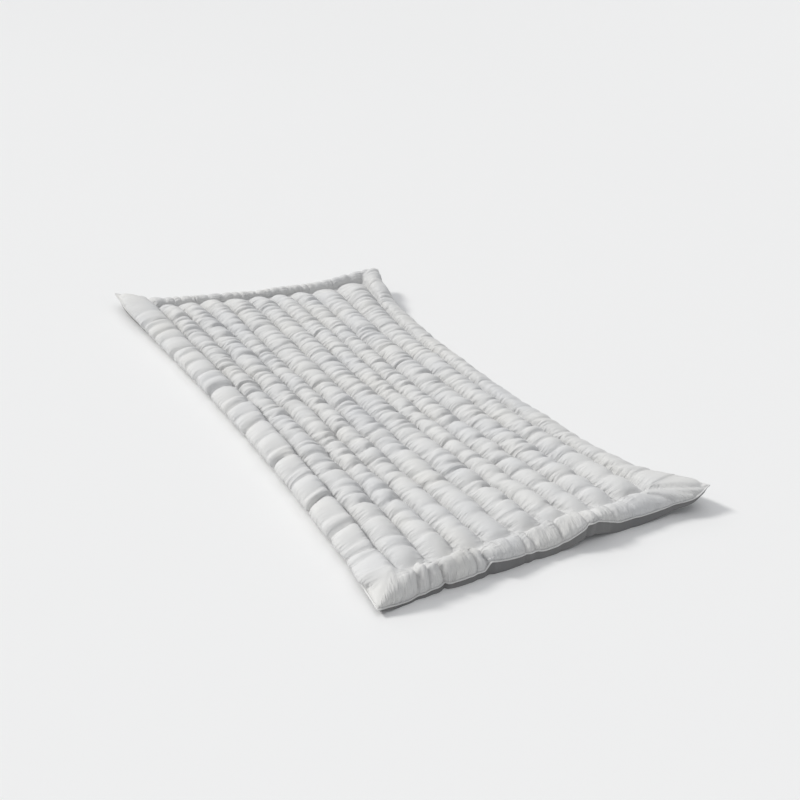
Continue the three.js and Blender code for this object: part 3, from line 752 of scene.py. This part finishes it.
def hold_border(out, z, side, sign, steps, slack):
    """Holds a border over its rim, which is the first row of out and z (sign 1) or their last (-1)."""
    rim_at = 0 if sign == 1 else -1
    for k in range(1, steps * 2 // 3):
        at = rim_at + sign * k
        over = OVERHANG[side] * np.clip((z[at] - z[rim_at] - OVER_FROM) / OVER_RISE, 0, 1)
        out[at] = sign * np.maximum(sign * out[at], sign * out[rim_at] - over - slack)
        z[at] = np.maximum(z[at], z[rim_at] + POINT_RISE * min(k, 6) - slack)


def keep_inside(sheet):
    """No channel crosses its own seam line, and no border hangs far out over the piping or below it."""
    x, y, z = [sheet[..., axis].astype(float) for axis in range(3)]
    for channel in range(1, LANES - 1):
        left, right = channel * STEPS, (channel + 1) * STEPS
        for k in range(1, STEPS):
            x[body, left + k] = np.clip(x[body, left + k], x[body, left] + SEAM_GAP * k,
                                        x[body, right] - SEAM_GAP * (STEPS - k))
    inner = slice(STEPS, COLUMNS - STEPS)
    from_corner = np.minimum(LANE, LANES - LANE)[0, inner] - 1, np.minimum(ZONE - 1, 2 - ZONE)[body, 0] * 12
    slack_x, slack_y = [CORNER_SLACK * (1 - np.clip(away, 0, 1)) for away in from_corner]
    for side, sign in (("left", 1), ("right", -1)):
        hold_border(x[body].T, z[body].T, side, sign, STEPS, slack_y)
    for side, sign in (("near", 1), ("far", -1)):
        hold_border(y[:, inner], z[:, inner], side, sign, BORDER_ROWS, slack_x)
    return np.stack([x, y, z], -1)


TOP = keep_inside(sheet)
print("kept inside: moved", round(1000 * float(np.abs(TOP - sheet).max()), 1), "mm at most")

# %% [markdown]
# ## The under panel
#
# Below the piping the pad rolls under, and where it lies on the ground it is flat, with soft grooves at
# the seams. Nobody sees much of it, so after the roll its grid is half as fine as the top's. Both panels
# go into one closed mesh, because a pad is stuffed.

# %% The rim, and ways round it
def rim_of(sheet):
    """The edge of a grid of points, once round from its near left corner, against the clock."""
    return np.concatenate([sheet[0, :-1], sheet[:-1, -1], sheet[-1, :0:-1], sheet[:0:-1, 0]])


def lay_round(sheet, loop):
    """Puts a loop of points, in the order of rim_of, on the edge of a grid."""
    along, across = sheet.shape[0] - 1, sheet.shape[1] - 1
    sheet[0, :-1], sheet[:-1, -1] = loop[:across], loop[across:across + along]
    sheet[-1, :0:-1], sheet[:0:-1, 0] = loop[across + along:-along], loop[-along:]
    return sheet


def unit(vectors):
    """The same ways, each one metre long."""
    return vectors / np.linalg.norm(vectors, axis=-1, keepdims=True)


def outwards_of(loop):
    """The level way out of a loop at each of its points, evened out over six points on both sides."""
    ahead = np.roll(loop, -6, 0) - np.roll(loop, 6, 0)
    return unit(np.stack([ahead[:, 1], -ahead[:, 0], 0 * ahead[:, 0]], -1))


rim = rim_of(TOP)
OUTWARDS = outwards_of(rim)
print("rim:", len(rim), "points")

# %% Rings from the piping down to the ground
ROLL_RINGS = 6
UNDER_ARCH = 0.80                            # share of the near arch that the under panel follows
ROLL_WIDTH, NEAR_ROLL_WIDTH = 0.030, -0.006  # how far in the roll ends, at the near end a little outside
ROLL_BULGE = 0.003
THINNEST = 0.006                             # from the rim down to the under panel, in a corner
# Up to the first distance from a tip the pad is that thin, and from the second on as thick as elsewhere:
# first for the long corner, then for the others.
TIP_THIN, CORNER_THIN = (0.065, 0.320), (0.0, 0.090)

ground = lift_at(rim[:, 0], rim[:, 1], UNDER_ARCH)
roll_width = mix(ROLL_WIDTH, NEAR_ROLL_WIDTH, np.clip(-OUTWARDS[:, 1], 0, 1) ** 2)
for corner in CORNERS:
    tip = corner_base(corner)
    from_tip = np.hypot(rim[:, 0] - tip[0] - corner.across, rim[:, 1] - tip[1] - corner.along)
    thin_to, full_at = TIP_THIN if corner == LONG_CORNER else CORNER_THIN
    thick = np.clip((from_tip - thin_to) / (full_at - thin_to), 0, 1)
    thick = thick**0.5 if corner == LONG_CORNER else ease(thick)
    ground = mix(np.maximum(ground, rim[:, 2] - THINNEST), ground, thick)
rings = []
for ring in range(1, ROLL_RINGS + 1):
    turn = ring / ROLL_RINGS * math.pi / 2
    out = ROLL_BULGE * math.sin(2 * turn) - roll_width * (1 - math.cos(turn))
    place = rim + OUTWARDS * out[:, None]
    place[:, 2] = ground + (rim[:, 2] - ground) * (1 - math.sin(turn))
    rings.append(place)
roll_height = 1000 * (rim[:, 2] - ground)
print("the rim stands", round(roll_height.min()), "to", round(roll_height.max()), "mm above the under panel")

# %% The flat of the under panel
GROOVE, GROOVE_WIDTH = 0.006, 0.010
under_lane, under_zone = LANE[::2, ::2], ZONE[::2, ::2]
UNDER = np.stack([*plan(under_lane, under_zone), 0 * under_lane], -1)
UNDER[..., 2] = lift_at(UNDER[..., 0], UNDER[..., 1], UNDER_ARCH)
in_side, in_end = side_step(under_lane), end_step(under_zone)
under_share = channel_of(under_lane)[1]
from_seam = (under_share - np.round(under_share)) * 0.1  # in metres, for channels 10 cm wide
UNDER[..., 2] += GROOVE * np.exp(-(from_seam / GROOVE_WIDTH) ** 2) * (np.minimum(in_side, in_end) >= 1)


def even_border(sheet, loop):
    """Moves the edge of a grid to a loop, and its borders with it, less and less up to the first seam."""
    moved_in = lay_round(sheet.copy(), loop) - sheet
    near = moved_in[:1] * np.clip(1 - under_zone, 0, 1)[..., None]
    far = moved_in[-1:] * np.clip(under_zone - 2, 0, 1)[..., None]
    left = moved_in[:, :1] * np.clip(1 - under_lane, 0, 1)[..., None]
    right = moved_in[:, -1:] * np.clip(under_lane - LANES + 1, 0, 1)[..., None]
    on_end = (in_end < in_side)[..., None]
    return lay_round(sheet + np.where(on_end, near + far, left + right), loop)


UNDER = even_border(UNDER, rings[-1][::2])
UNDER[..., 2] = np.maximum(UNDER[..., 2], 0)
print("under panel:", UNDER.shape[0], "rows of", UNDER.shape[1], "points")

# %% [markdown]
# ## One closed mesh
#
# The quads of a grid, of the rings and of the seam between fine and coarse points are all worked out from
# the numbers of their points, so the mesh has no holes and no doubled points to merge.

# %% Joining the panels
def numbers(shape, first):
    """The numbers of the points of a grid, from a first one on."""
    return first + np.arange(shape[0] * shape[1]).reshape(shape)


def quads_of(grid_numbers, facing_up=True):
    """The quads of a grid, from the numbers of its points."""
    n = grid_numbers
    quads = np.stack([n[:-1, :-1], n[:-1, 1:], n[1:, 1:], n[1:, :-1]], -1).reshape(-1, 4)
    return quads if facing_up else quads[:, ::-1]


top_numbers = numbers(TOP.shape[:2], 0)
rim_numbers = rim_of(top_numbers)
points, faces = [TOP.reshape(-1, 3)], [quads_of(top_numbers)]
upper, used = rim_numbers, top_numbers.size
for place in rings:
    lower = used + np.arange(len(place))
    faces.append(np.stack([upper, lower, np.roll(lower, -1), np.roll(upper, -1)], -1))
    points.append(place)
    upper, used = lower, used + len(place)
# The edge of the under panel is every second point of the last ring, and small triangles join the others.
inside = slice(1, -1), slice(1, -1)
under_numbers = np.zeros(under_lane.shape, int)
under_numbers[inside] = numbers(UNDER[inside].shape[:2], used)
lay_round(under_numbers, upper[::2])
points.append(UNDER[inside].reshape(-1, 3))
faces.append(quads_of(under_numbers, facing_up=False))
links = np.stack([np.roll(upper[::2], -1), upper[1::2], upper[::2]], -1)
print("points:", sum(len(p) for p in points), "rim", len(rim_numbers), "joining triangles", len(links))

# %% The pad, on the place of its solid
PATTERN_MIDDLE = 0.0460, 0.0230  # the pattern's place that lies on the middle of the solid
lowest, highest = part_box("mattress")
SHIFT = (np.array(lowest) + np.array(highest)) / 2 - [*PATTERN_MIDDLE, 0]
SHIFT[2] = 0
print("pattern to frame:", SHIFT.round(4))


def make_mesh(name, places, quads, triangles=None):
    """A piece with smooth faces, from blocks of quads and maybe some triangles."""
    mesh = bpy.data.meshes.new(name)
    polygons = [quad for block in quads for quad in block.tolist()]
    if triangles is not None:
        polygons += triangles.tolist()
    mesh.from_pydata((places + SHIFT).tolist(), [], polygons)
    mesh.validate()
    mesh.shade_smooth()
    piece = bpy.data.objects.new(name, mesh)
    bpy.context.scene.collection.objects.link(piece)
    return piece


quilted_pad = make_mesh("quilted_pad", np.concatenate(points), faces, links)
print("quilted pad:", len(quilted_pad.data.vertices), "points,", len(quilted_pad.data.polygons), "faces")

# %% [markdown]
# ## Piping
#
# The piping is a thin cord in a strip of ticking, sewn in where the two panels meet. A curve with a round
# bevel would make such a cord too, but its map would not be in metres, as its ribs need. So a ring of
# points is set round every point of the rim, a little outside it, and the cord follows every pleat.

# %% Piping round the rim
PIPING_SIDES = 10
PIPING_RADIUS = 0.0026
PIPING_OUT = 0.0022  # from the rim to the middle of the cord


def across_and_up(ahead):
    """Two ways square to a line: level across it, and up."""
    across = unit(np.cross(ahead, [0, 0, 1.0]))
    return across, np.cross(across, ahead)


rim_line = rim + OUTWARDS * PIPING_OUT
sideways, upwards = across_and_up(unit(np.roll(rim_line, -1, 0) - np.roll(rim_line, 1, 0)))
tube = []
for side in range(PIPING_SIDES):
    turn = 2 * math.pi * side / PIPING_SIDES
    tube.append(rim_line + PIPING_RADIUS * (math.cos(turn) * sideways + math.sin(turn) * upwards))
tube_numbers = numbers((PIPING_SIDES, len(rim_line)), 0)
tube_numbers = np.vstack([tube_numbers, tube_numbers[:1]])
tube_numbers = np.hstack([tube_numbers, tube_numbers[:, :1]])
rim_piping = make_mesh("rim_piping", np.concatenate(tube), [quads_of(tube_numbers)])
print("piping:", len(rim_piping.data.polygons), "faces")

# %% [markdown]
# ## Stitches
#
# The seams are machine stitches of a soft white thread, which sink into the ticking between the channels.
# A texture could paint them, but a real bump of thread catches the light from every side, so each stitch is
# a small pointed bar, and one mesh holds them all.

# %% Stitches along the seams
STITCH, STITCH_GAP = 0.0042, 0.0016
THREAD = 0.0007       # from the middle of the thread to its corners
STITCH_LIFT = 0.0009  # how high the middle of a stitch stands over the seam line
# Four squares of points make a bar: the place of each along it, its size and its height, as shares of that.
BAR = [(0.0, 0.35, -0.8), (0.25, 1, 0), (0.75, 1, 0), (1.0, 0.35, -0.8)]


def length_along(line):
    """The way along a line of points up to each of them."""
    return np.concatenate([[0], np.cumsum(np.linalg.norm(np.diff(line, axis=0), axis=-1))])


def bars_along(line):
    """Points and quads of the stitches that follow a line of points."""
    line = line + [0, 0, STITCH_LIFT]
    lengths = length_along(line)
    starts = np.arange(0, lengths[-1] - STITCH, STITCH + STITCH_GAP)
    a, b = [np.stack([np.interp(at, lengths, line[:, axis]) for axis in range(3)], -1)
            for at in (starts, starts + STITCH)]
    side, up = across_and_up(unit(b - a))
    squares = []
    for share, size, rise in BAR:
        middle = mix(a, b, share) + up * THREAD * rise
        for turn in range(4):
            angle = math.pi / 2 * turn + math.pi / 4
            squares.append(middle + THREAD * size * (math.cos(angle) * side + math.sin(angle) * up))
    places = np.stack(squares, 1)
    quads = [(r + 4 + t, r + 4 + (t + 1) % 4, r + (t + 1) % 4, r + t) for r in (0, 4, 8) for t in range(4)]
    quads += [(0, 1, 2, 3), (15, 14, 13, 12)]
    every = np.array(quads)[None] + 16 * np.arange(len(places))[:, None, None]
    return places.reshape(-1, 3), every.reshape(-1, 4)


stitch_points, stitch_quads, used = [], [], 0
seam_lines = [TOP[body, channel * STEPS] for channel in range(1, LANES)]
seam_lines += [TOP[row, STEPS:COLUMNS - STEPS] for row in (BORDER_ROWS, BORDER_ROWS + BODY_ROWS)]
for line in seam_lines:
    bars, quads = bars_along(line)
    stitch_points.append(bars)
    stitch_quads.append(quads + used)
    used += len(bars)
seam_stitches = make_mesh("seam_stitches", np.concatenate(stitch_points), stitch_quads)
print("stitches:", used // 16, "of", 1000 * STITCH, "mm,", 2 * len(seam_stitches.data.polygons), "triangles")

# %% [markdown]
# ## Maps for the finishes
#
# The weave has to run with the cloth, over every pillow and down into every seam, so the pad carries a map
# of the flat cloth in metres. A second map tells how near a seam is, across a channel and across an end
# border, because that is where the cloth is puckered and where the finish makes it greyer.

# %% The two maps of the pad
RING_STEP = 0.007  # cloth between two rings of the roll


def spread_map(mesh, name, places):
    """A UV map with one place for each point of the mesh."""
    layer = mesh.uv_layers.new(name=name)
    owners = np.empty(len(mesh.loops), np.int32)
    mesh.loops.foreach_get("vertex_index", owners)
    layer.data.foreach_set("uv", places[owners].astype(np.float32).ravel())


flat_y = np.interp(ZONE, [0, 1, 2, 3], [-BORDER, 0, 2 * SEAM_Y, 2 * SEAM_Y + BORDER])
flat_places = np.stack([LANE * USUAL_WIDTH, flat_y], -1)
in_end_border = end_step(ZONE)
near_seam = (2 * np.abs(SHARE - 0.5)) ** 1.5 * np.clip((in_end_border - 0.3) * 2, 0, 1)
near_end = np.clip(1.3 - in_end_border, 0, 1) * (in_end_border < side_step(LANE))
near_end = near_end * (0.45 + 0.55 * (2 * in_end_border - 1) ** 2)
pulled = np.stack([near_seam, near_end], -1)
map_blocks, pull_blocks = [flat_places.reshape(-1, 2)], [pulled.reshape(-1, 2)]
# The under panel is cut like the top one, so its map runs back inwards from the piping.
for ring in range(1, ROLL_RINGS + 1):
    map_blocks.append(rim_of(flat_places) - OUTWARDS[:, :2] * RING_STEP * ring)
    pull_blocks.append(rim_of(pulled) * (1 - ring / ROLL_RINGS))
under_map = even_border(flat_places[::2, ::2], map_blocks[-1][::2])
map_blocks.append(under_map[inside].reshape(-1, 2))
pull_blocks.append(np.zeros((len(points[-1]), 2)))
spread_map(quilted_pad.data, "cloth", np.concatenate(map_blocks))
spread_map(quilted_pad.data, "pull", np.concatenate(pull_blocks))
round_rim = length_along(rim_line)
round_cord = np.repeat(np.arange(PIPING_SIDES) / PIPING_SIDES, len(rim_line))
spread_map(rim_piping.data, "cloth", np.stack([np.tile(round_rim, PIPING_SIDES), round_cord], -1))
print("flat cloth:", np.ptp(flat_places, axis=(0, 1)).round(3), "and piping", round(round_rim[-1], 2), "long")

# %% [markdown]
# ## Values in a material's nodes
#
# A material is arithmetic on values that change over the surface. The class below wraps a socket, so that
# a sum in Python, such as 1 - mask, adds the maths nodes that do it.

# %% A value that writes its own nodes
class Value:
    """The output of a node. Python's signs on it add maths nodes, and node() adds any other."""

    def __init__(self, tree, socket):
        self.tree, self.socket = tree, socket

    def node(self, kind, settings=None, sockets=None, result=0):
        """Adds a node: its settings come first, then its sockets, each with a number or another value."""
        made = self.tree.nodes.new(kind)
        for name, setting in (settings or {}).items():
            setattr(made, name, setting)
        connect(made, sockets or {})
        return Value(self.tree, made.outputs[result])

    def maths(self, operation, *terms):
        return self.node("ShaderNodeMath", {"operation": operation}, dict(enumerate(terms)))

    def __add__(self, other):
        return self.maths("ADD", self, other)

    def __sub__(self, other):
        return self.maths("SUBTRACT", self, other)

    def __rsub__(self, other):
        return self.maths("SUBTRACT", other, self)

    def __mul__(self, other):
        return self.maths("MULTIPLY", self, other)

    def __pow__(self, power):
        return self.maths("POWER", self, power)

    __radd__, __rmul__ = __add__, __mul__

    def wave(self, length):
        """A rib that repeats every length, from -1 to 1."""
        return self.maths("SINE", self * (2 * math.pi / length))

    def vector(self, x, y):
        return self.node("ShaderNodeCombineXYZ", None, {0: x, 1: y})

    def noise(self, place, scale, detail):
        """Soft noise from 0 to 1 at a place."""
        return self.node("ShaderNodeTexNoise", None, {"Vector": place, "Scale": scale, "Detail": detail})

    def colour_between(self, one, other):
        """This value as the share of the second colour."""
        return self.node("ShaderNodeMix", {"data_type": "RGBA"}, {0: self, 6: one, 7: other}, 2)

    def parts(self):
        """X and Y of a place."""
        return [self.node("ShaderNodeSeparateXYZ", None, {0: self}, axis) for axis in (0, 1)]

    def bump(self):
        """The slope of this height, in metres."""
        return self.node("ShaderNodeBump", None, {"Strength": 1.0, "Distance": 1.0, "Height": self})


def connect(node, sockets):
    """Gives each named socket of a node a number, a colour or a link to a value."""
    for name, given in sockets.items():
        if isinstance(given, Value):
            given.tree.links.new(given.socket, node.inputs[name])
        else:
            node.inputs[name].default_value = given


def begin_finish(name):
    """A new material: its shader, and a value to start sums from."""
    finish = bpy.data.materials.new(name)
    finish.use_nodes = True
    shader = finish.node_tree.nodes["Principled BSDF"]
    return finish, shader, Value(finish.node_tree, None)


def read_map(start, name):
    """The two numbers of one of the maps."""
    return start.node("ShaderNodeUVMap", {"uv_map": name}).parts()


# %% [markdown]
# ## Cotton ticking
#
# Ticking is a close twill of white cotton, slightly fuzzy, so it has a soft sheen and hardly any shine.
# Its white is not even: it is a little warmer or bluer from place to place and greyer in the seams. Near
# the seams fine puckers run across it, too small for the mesh, so the bump makes them: noise that is
# drawn out across the channel, and across the border at the two ends.

# %% Finish of the top panel
PUCKER_LENGTH, PUCKER_WIDTH = 0.045, 0.0105
END_PUCKERS = 1.1                                # height of the puckers at the ends, as a share
TWILL, CROSS_RIBS = 0.0013, 0.0021               # length of a rib
TWILL_HEIGHT, CROSS_HEIGHT = 0.00003, 0.00002
PATCHES, SPECKLE = 5.0, 38.0                        # noise per metre
PATCH_CONTRAST, GREYING, UNEVEN_SHINE = 1.7, 0.8, 0.16


def cloth_finish(name, warm, cool, seam_grey, puckers, rough):
    """Woven cloth with its weave, puckers, uneven white and sheen."""
    finish, shader, start = begin_finish(name)
    across, along = read_map(start, "cloth")
    by_seam, by_end = read_map(start, "pull")
    twill = (across + along).wave(TWILL)
    cross_ribs = (across - along * 0.6).wave(CROSS_RIBS)

    def drawn_out(size_across, size_along, detail):
        return start.noise(start.vector(across * (1 / size_across), along * (1 / size_along)), 1.0, detail)

    channel_puckers = drawn_out(PUCKER_LENGTH, PUCKER_WIDTH, 3.2)
    end_puckers = drawn_out(PUCKER_WIDTH, PUCKER_LENGTH, 2.5)
    fold_height = (channel_puckers - 0.5) * by_seam + (end_puckers - 0.5) * by_end * END_PUCKERS
    height = fold_height * puckers + twill * TWILL_HEIGHT + cross_ribs * CROSS_HEIGHT
    patches = start.noise(start.vector(across, along), PATCHES, 3.0)
    speckle = start.noise(start.vector(across, along), SPECKLE, 4.0)
    # Darker towards the seam lines, in random speckles along them.
    greyer = (by_seam ** 3) * speckle
    even_colour = ((patches - 0.5) * PATCH_CONTRAST + 0.5).colour_between(cool, warm)
    colour = (greyer * GREYING).colour_between(even_colour, seam_grey)
    connect(shader, {"Base Color": colour, "Roughness": (speckle - 0.5) * UNEVEN_SHINE + rough,
                     "Normal": height.bump(), "Sheen Weight": 0.25, "Sheen Roughness": 0.45,
                     "Specular IOR Level": 0.25})
    return finish


ticking = cloth_finish("cotton ticking", warm=(0.745, 0.737, 0.715, 1), cool=(0.672, 0.678, 0.692, 1),
                       seam_grey=(0.52, 0.52, 0.52, 1), puckers=0.0125, rough=0.82)
print(ticking.name, "has", len(ticking.node_tree.nodes), "nodes")

# %% [markdown]
# ## Under cloth, darkened by painted shade
#
# The strip below the piping is dark in the photograph. The roll and the panel that faces the floor are given
# a dark grey colour that stands for that shadow: it is painted shade. It lies in the pad's own shadow, and
# the panel that faces the floor is taken to be a plain grey cloth that does not show dirt. The cloth is
# woven like the ticking, so it is the same finish with greyer colours and nearly without puckers.

# %% Finish of the under panel, in painted shade
# Its dark greys are painted shade, standing for the shadow below the piping.
painted_shade_under_cloth = cloth_finish("under cloth in painted shade", warm=(0.235, 0.233, 0.230, 1), cool=(0.190, 0.190, 0.195, 1),
                           seam_grey=(0.15, 0.15, 0.15, 1), puckers=0.0010, rough=0.88)
print(painted_shade_under_cloth.name, "has", len(painted_shade_under_cloth.node_tree.nodes), "nodes")

# %% [markdown]
# ## Piping and thread
#
# The piping is a cord in a strip of the ticking that is cut on the slant, so slanted ribs run round it.
# The thread of the stitches is two strands twisted together, which the same kind of rib shows.

# %% Finishes of the piping and the thread
CORD_ROUND = 0.016  # way round the cord
TUFTS = 60          # noise per metre


def ribbed_finish(begun, along, round_it, light, dark, rib, depth, rough):
    """Slanted ribs and loose tufts, on what begin_finish gave and two ways in metres."""
    finish, shader, start = begun
    ribs = (along + round_it).wave(rib)
    tufts = start.noise(start.vector(along * TUFTS, round_it * TUFTS), 1.0, 3.0)
    height = ribs * depth + tufts * depth
    connect(shader, {"Base Color": tufts.colour_between(dark, light),
                     "Roughness": (tufts - 0.5) * 0.2 + rough, "Normal": height.bump(),
                     "Sheen Weight": 0.3, "Sheen Roughness": 0.4, "Specular IOR Level": 0.3})
    return finish


begun = begin_finish("piping cloth")
cord_along, cord_round = read_map(begun[2], "cloth")
piping_cloth = ribbed_finish(begun, cord_along, cord_round * CORD_ROUND, light=(0.80, 0.795, 0.78, 1),
                             dark=(0.68, 0.68, 0.68, 1), rib=0.0032, depth=0.00012, rough=0.75)
begun = begin_finish("white thread")
thread_x, thread_y = begun[2].node("ShaderNodeTexCoord", None, None, 3).parts()
white_thread = ribbed_finish(begun, thread_x, thread_y, light=(0.80, 0.80, 0.79, 1),
                             dark=(0.66, 0.66, 0.66, 1), rib=0.0011, depth=0.00008, rough=0.62)
print("ribbed:", piping_cloth.name, "and", white_thread.name)

# %% [markdown]
# ## Dressing the pieces
#
# Each piece gets its cloth and is tied to the body that carries it, and the pad and the piping of the solid
# model are hidden.

# %% Dressing the pieces
quilted_pad.data.materials.append(ticking)
quilted_pad.data.materials.append(painted_shade_under_cloth)
# The roll and the under panel take the second finish, whose dark grey is painted shade.
below = np.zeros(len(quilted_pad.data.polygons), np.int32)
below[len(faces[0]):] = 1
quilted_pad.data.polygons.foreach_set("material_index", below)
rim_piping.data.materials.append(piping_cloth)
seam_stitches.data.materials.append(white_thread)
for piece, slot in ((quilted_pad, "ticking"), (rim_piping, "piping"), (seam_stitches, "piping")):
    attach(piece, "root")
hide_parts("mattress")
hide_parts("piping")
print("dressed:", [material.name for material in bpy.data.materials])

# %% [markdown]
# ## Floor, light and camera
#
# The floor is a pale disc that rises far away into a shallow bowl. A flat plane would fill the
# photograph's view as well, but in a low view its horizon would lie closer to the pad. A soft light from
# the left and behind draws the creases, a wide one overhead fills them, and the pale surroundings do the
# rest. The camera stands where the photograph was taken.

# %% Floor
floor_mesh = bpy.data.meshes.new("floor")
around = np.linspace(0, 2 * math.pi, 96, endpoint=False)
BOWL = ((6, 0), (9, 0.03), (14, 0.25), (22, 0.9), (240, 21.0))  # radius and height of its circles
circles = [[(r * math.cos(turn), r * math.sin(turn), up) for turn in around] for r, up in BOWL]
floor_numbers = numbers((len(circles), len(around)), 0)
floor_numbers = np.hstack([floor_numbers, floor_numbers[:, :1]])
floor_mesh.from_pydata([place for circle in circles for place in circle], [],
                       quads_of(floor_numbers, facing_up=False).tolist() + [floor_numbers[0, :-1].tolist()])
floor_mesh.shade_smooth()
floor = bpy.data.objects.new("floor", floor_mesh)
bpy.context.scene.collection.objects.link(floor)
pale, pale_shader, _ = begin_finish("pale floor")
connect(pale_shader, {"Base Color": (0.91, 0.91, 0.91, 1), "Roughness": 0.9, "Specular IOR Level": 0.1})
floor_mesh.materials.append(pale)
floor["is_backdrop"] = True
print("floor:", len(floor_mesh.polygons), "faces")

# %% Light
world = bpy.data.worlds.new("studio")
bpy.context.scene.world = world
world.use_nodes = True
connect(world.node_tree.nodes["Background"], {"Color": (0.95, 0.97, 1.0, 1), "Strength": 0.36})
bpy.context.scene.view_settings.view_transform = "Standard"


def hang_light(name, way, width, strength, colour):
    """A far soft light that shines from one way, as wide as an angle in degrees."""
    light = bpy.data.lights.new(name, "SUN")
    light.energy, light.angle, light.color = strength, math.radians(width), colour
    light_object = bpy.data.objects.new(name, light)
    bpy.context.scene.collection.objects.link(light_object)
    light_object.rotation_euler = Vector(way).to_track_quat("Z", "Y").to_euler()


hang_light("window", (-0.62, 0.56, 0.62), 12, 1.75, (1.0, 0.99, 0.965))
hang_light("ceiling", (-0.10, 0.40, 1.0), 90, 0.90, (1.0, 1.0, 1.0))
print("lights:", [light.name for light in bpy.data.lights])

# %% Camera
camera = bpy.data.cameras.new("camera")
camera.sensor_width, camera.lens = 36, 38.32
camera_object = bpy.data.objects.new("camera", camera)
bpy.context.scene.collection.objects.link(camera_object)
camera_object.location = (-1.6992, -2.3262, 1.5011)
camera_object.rotation_euler = Euler([math.radians(a) for a in (61.978, -8.576, -33.390)])
bpy.context.scene.camera = camera_object
print("camera:", camera.lens, "mm, from", [round(v, 2) for v in camera_object.location])

# %% [markdown]
# ## Sizes, and the end
#
# The dressed pad is a little larger than its solid in places.

# %% Sizes, and the end
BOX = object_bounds()
for name, box in (("cad", CAD_BOX), ("visual", BOX)):
    print(name, [round(v, 4) for corner in box for v in corner])
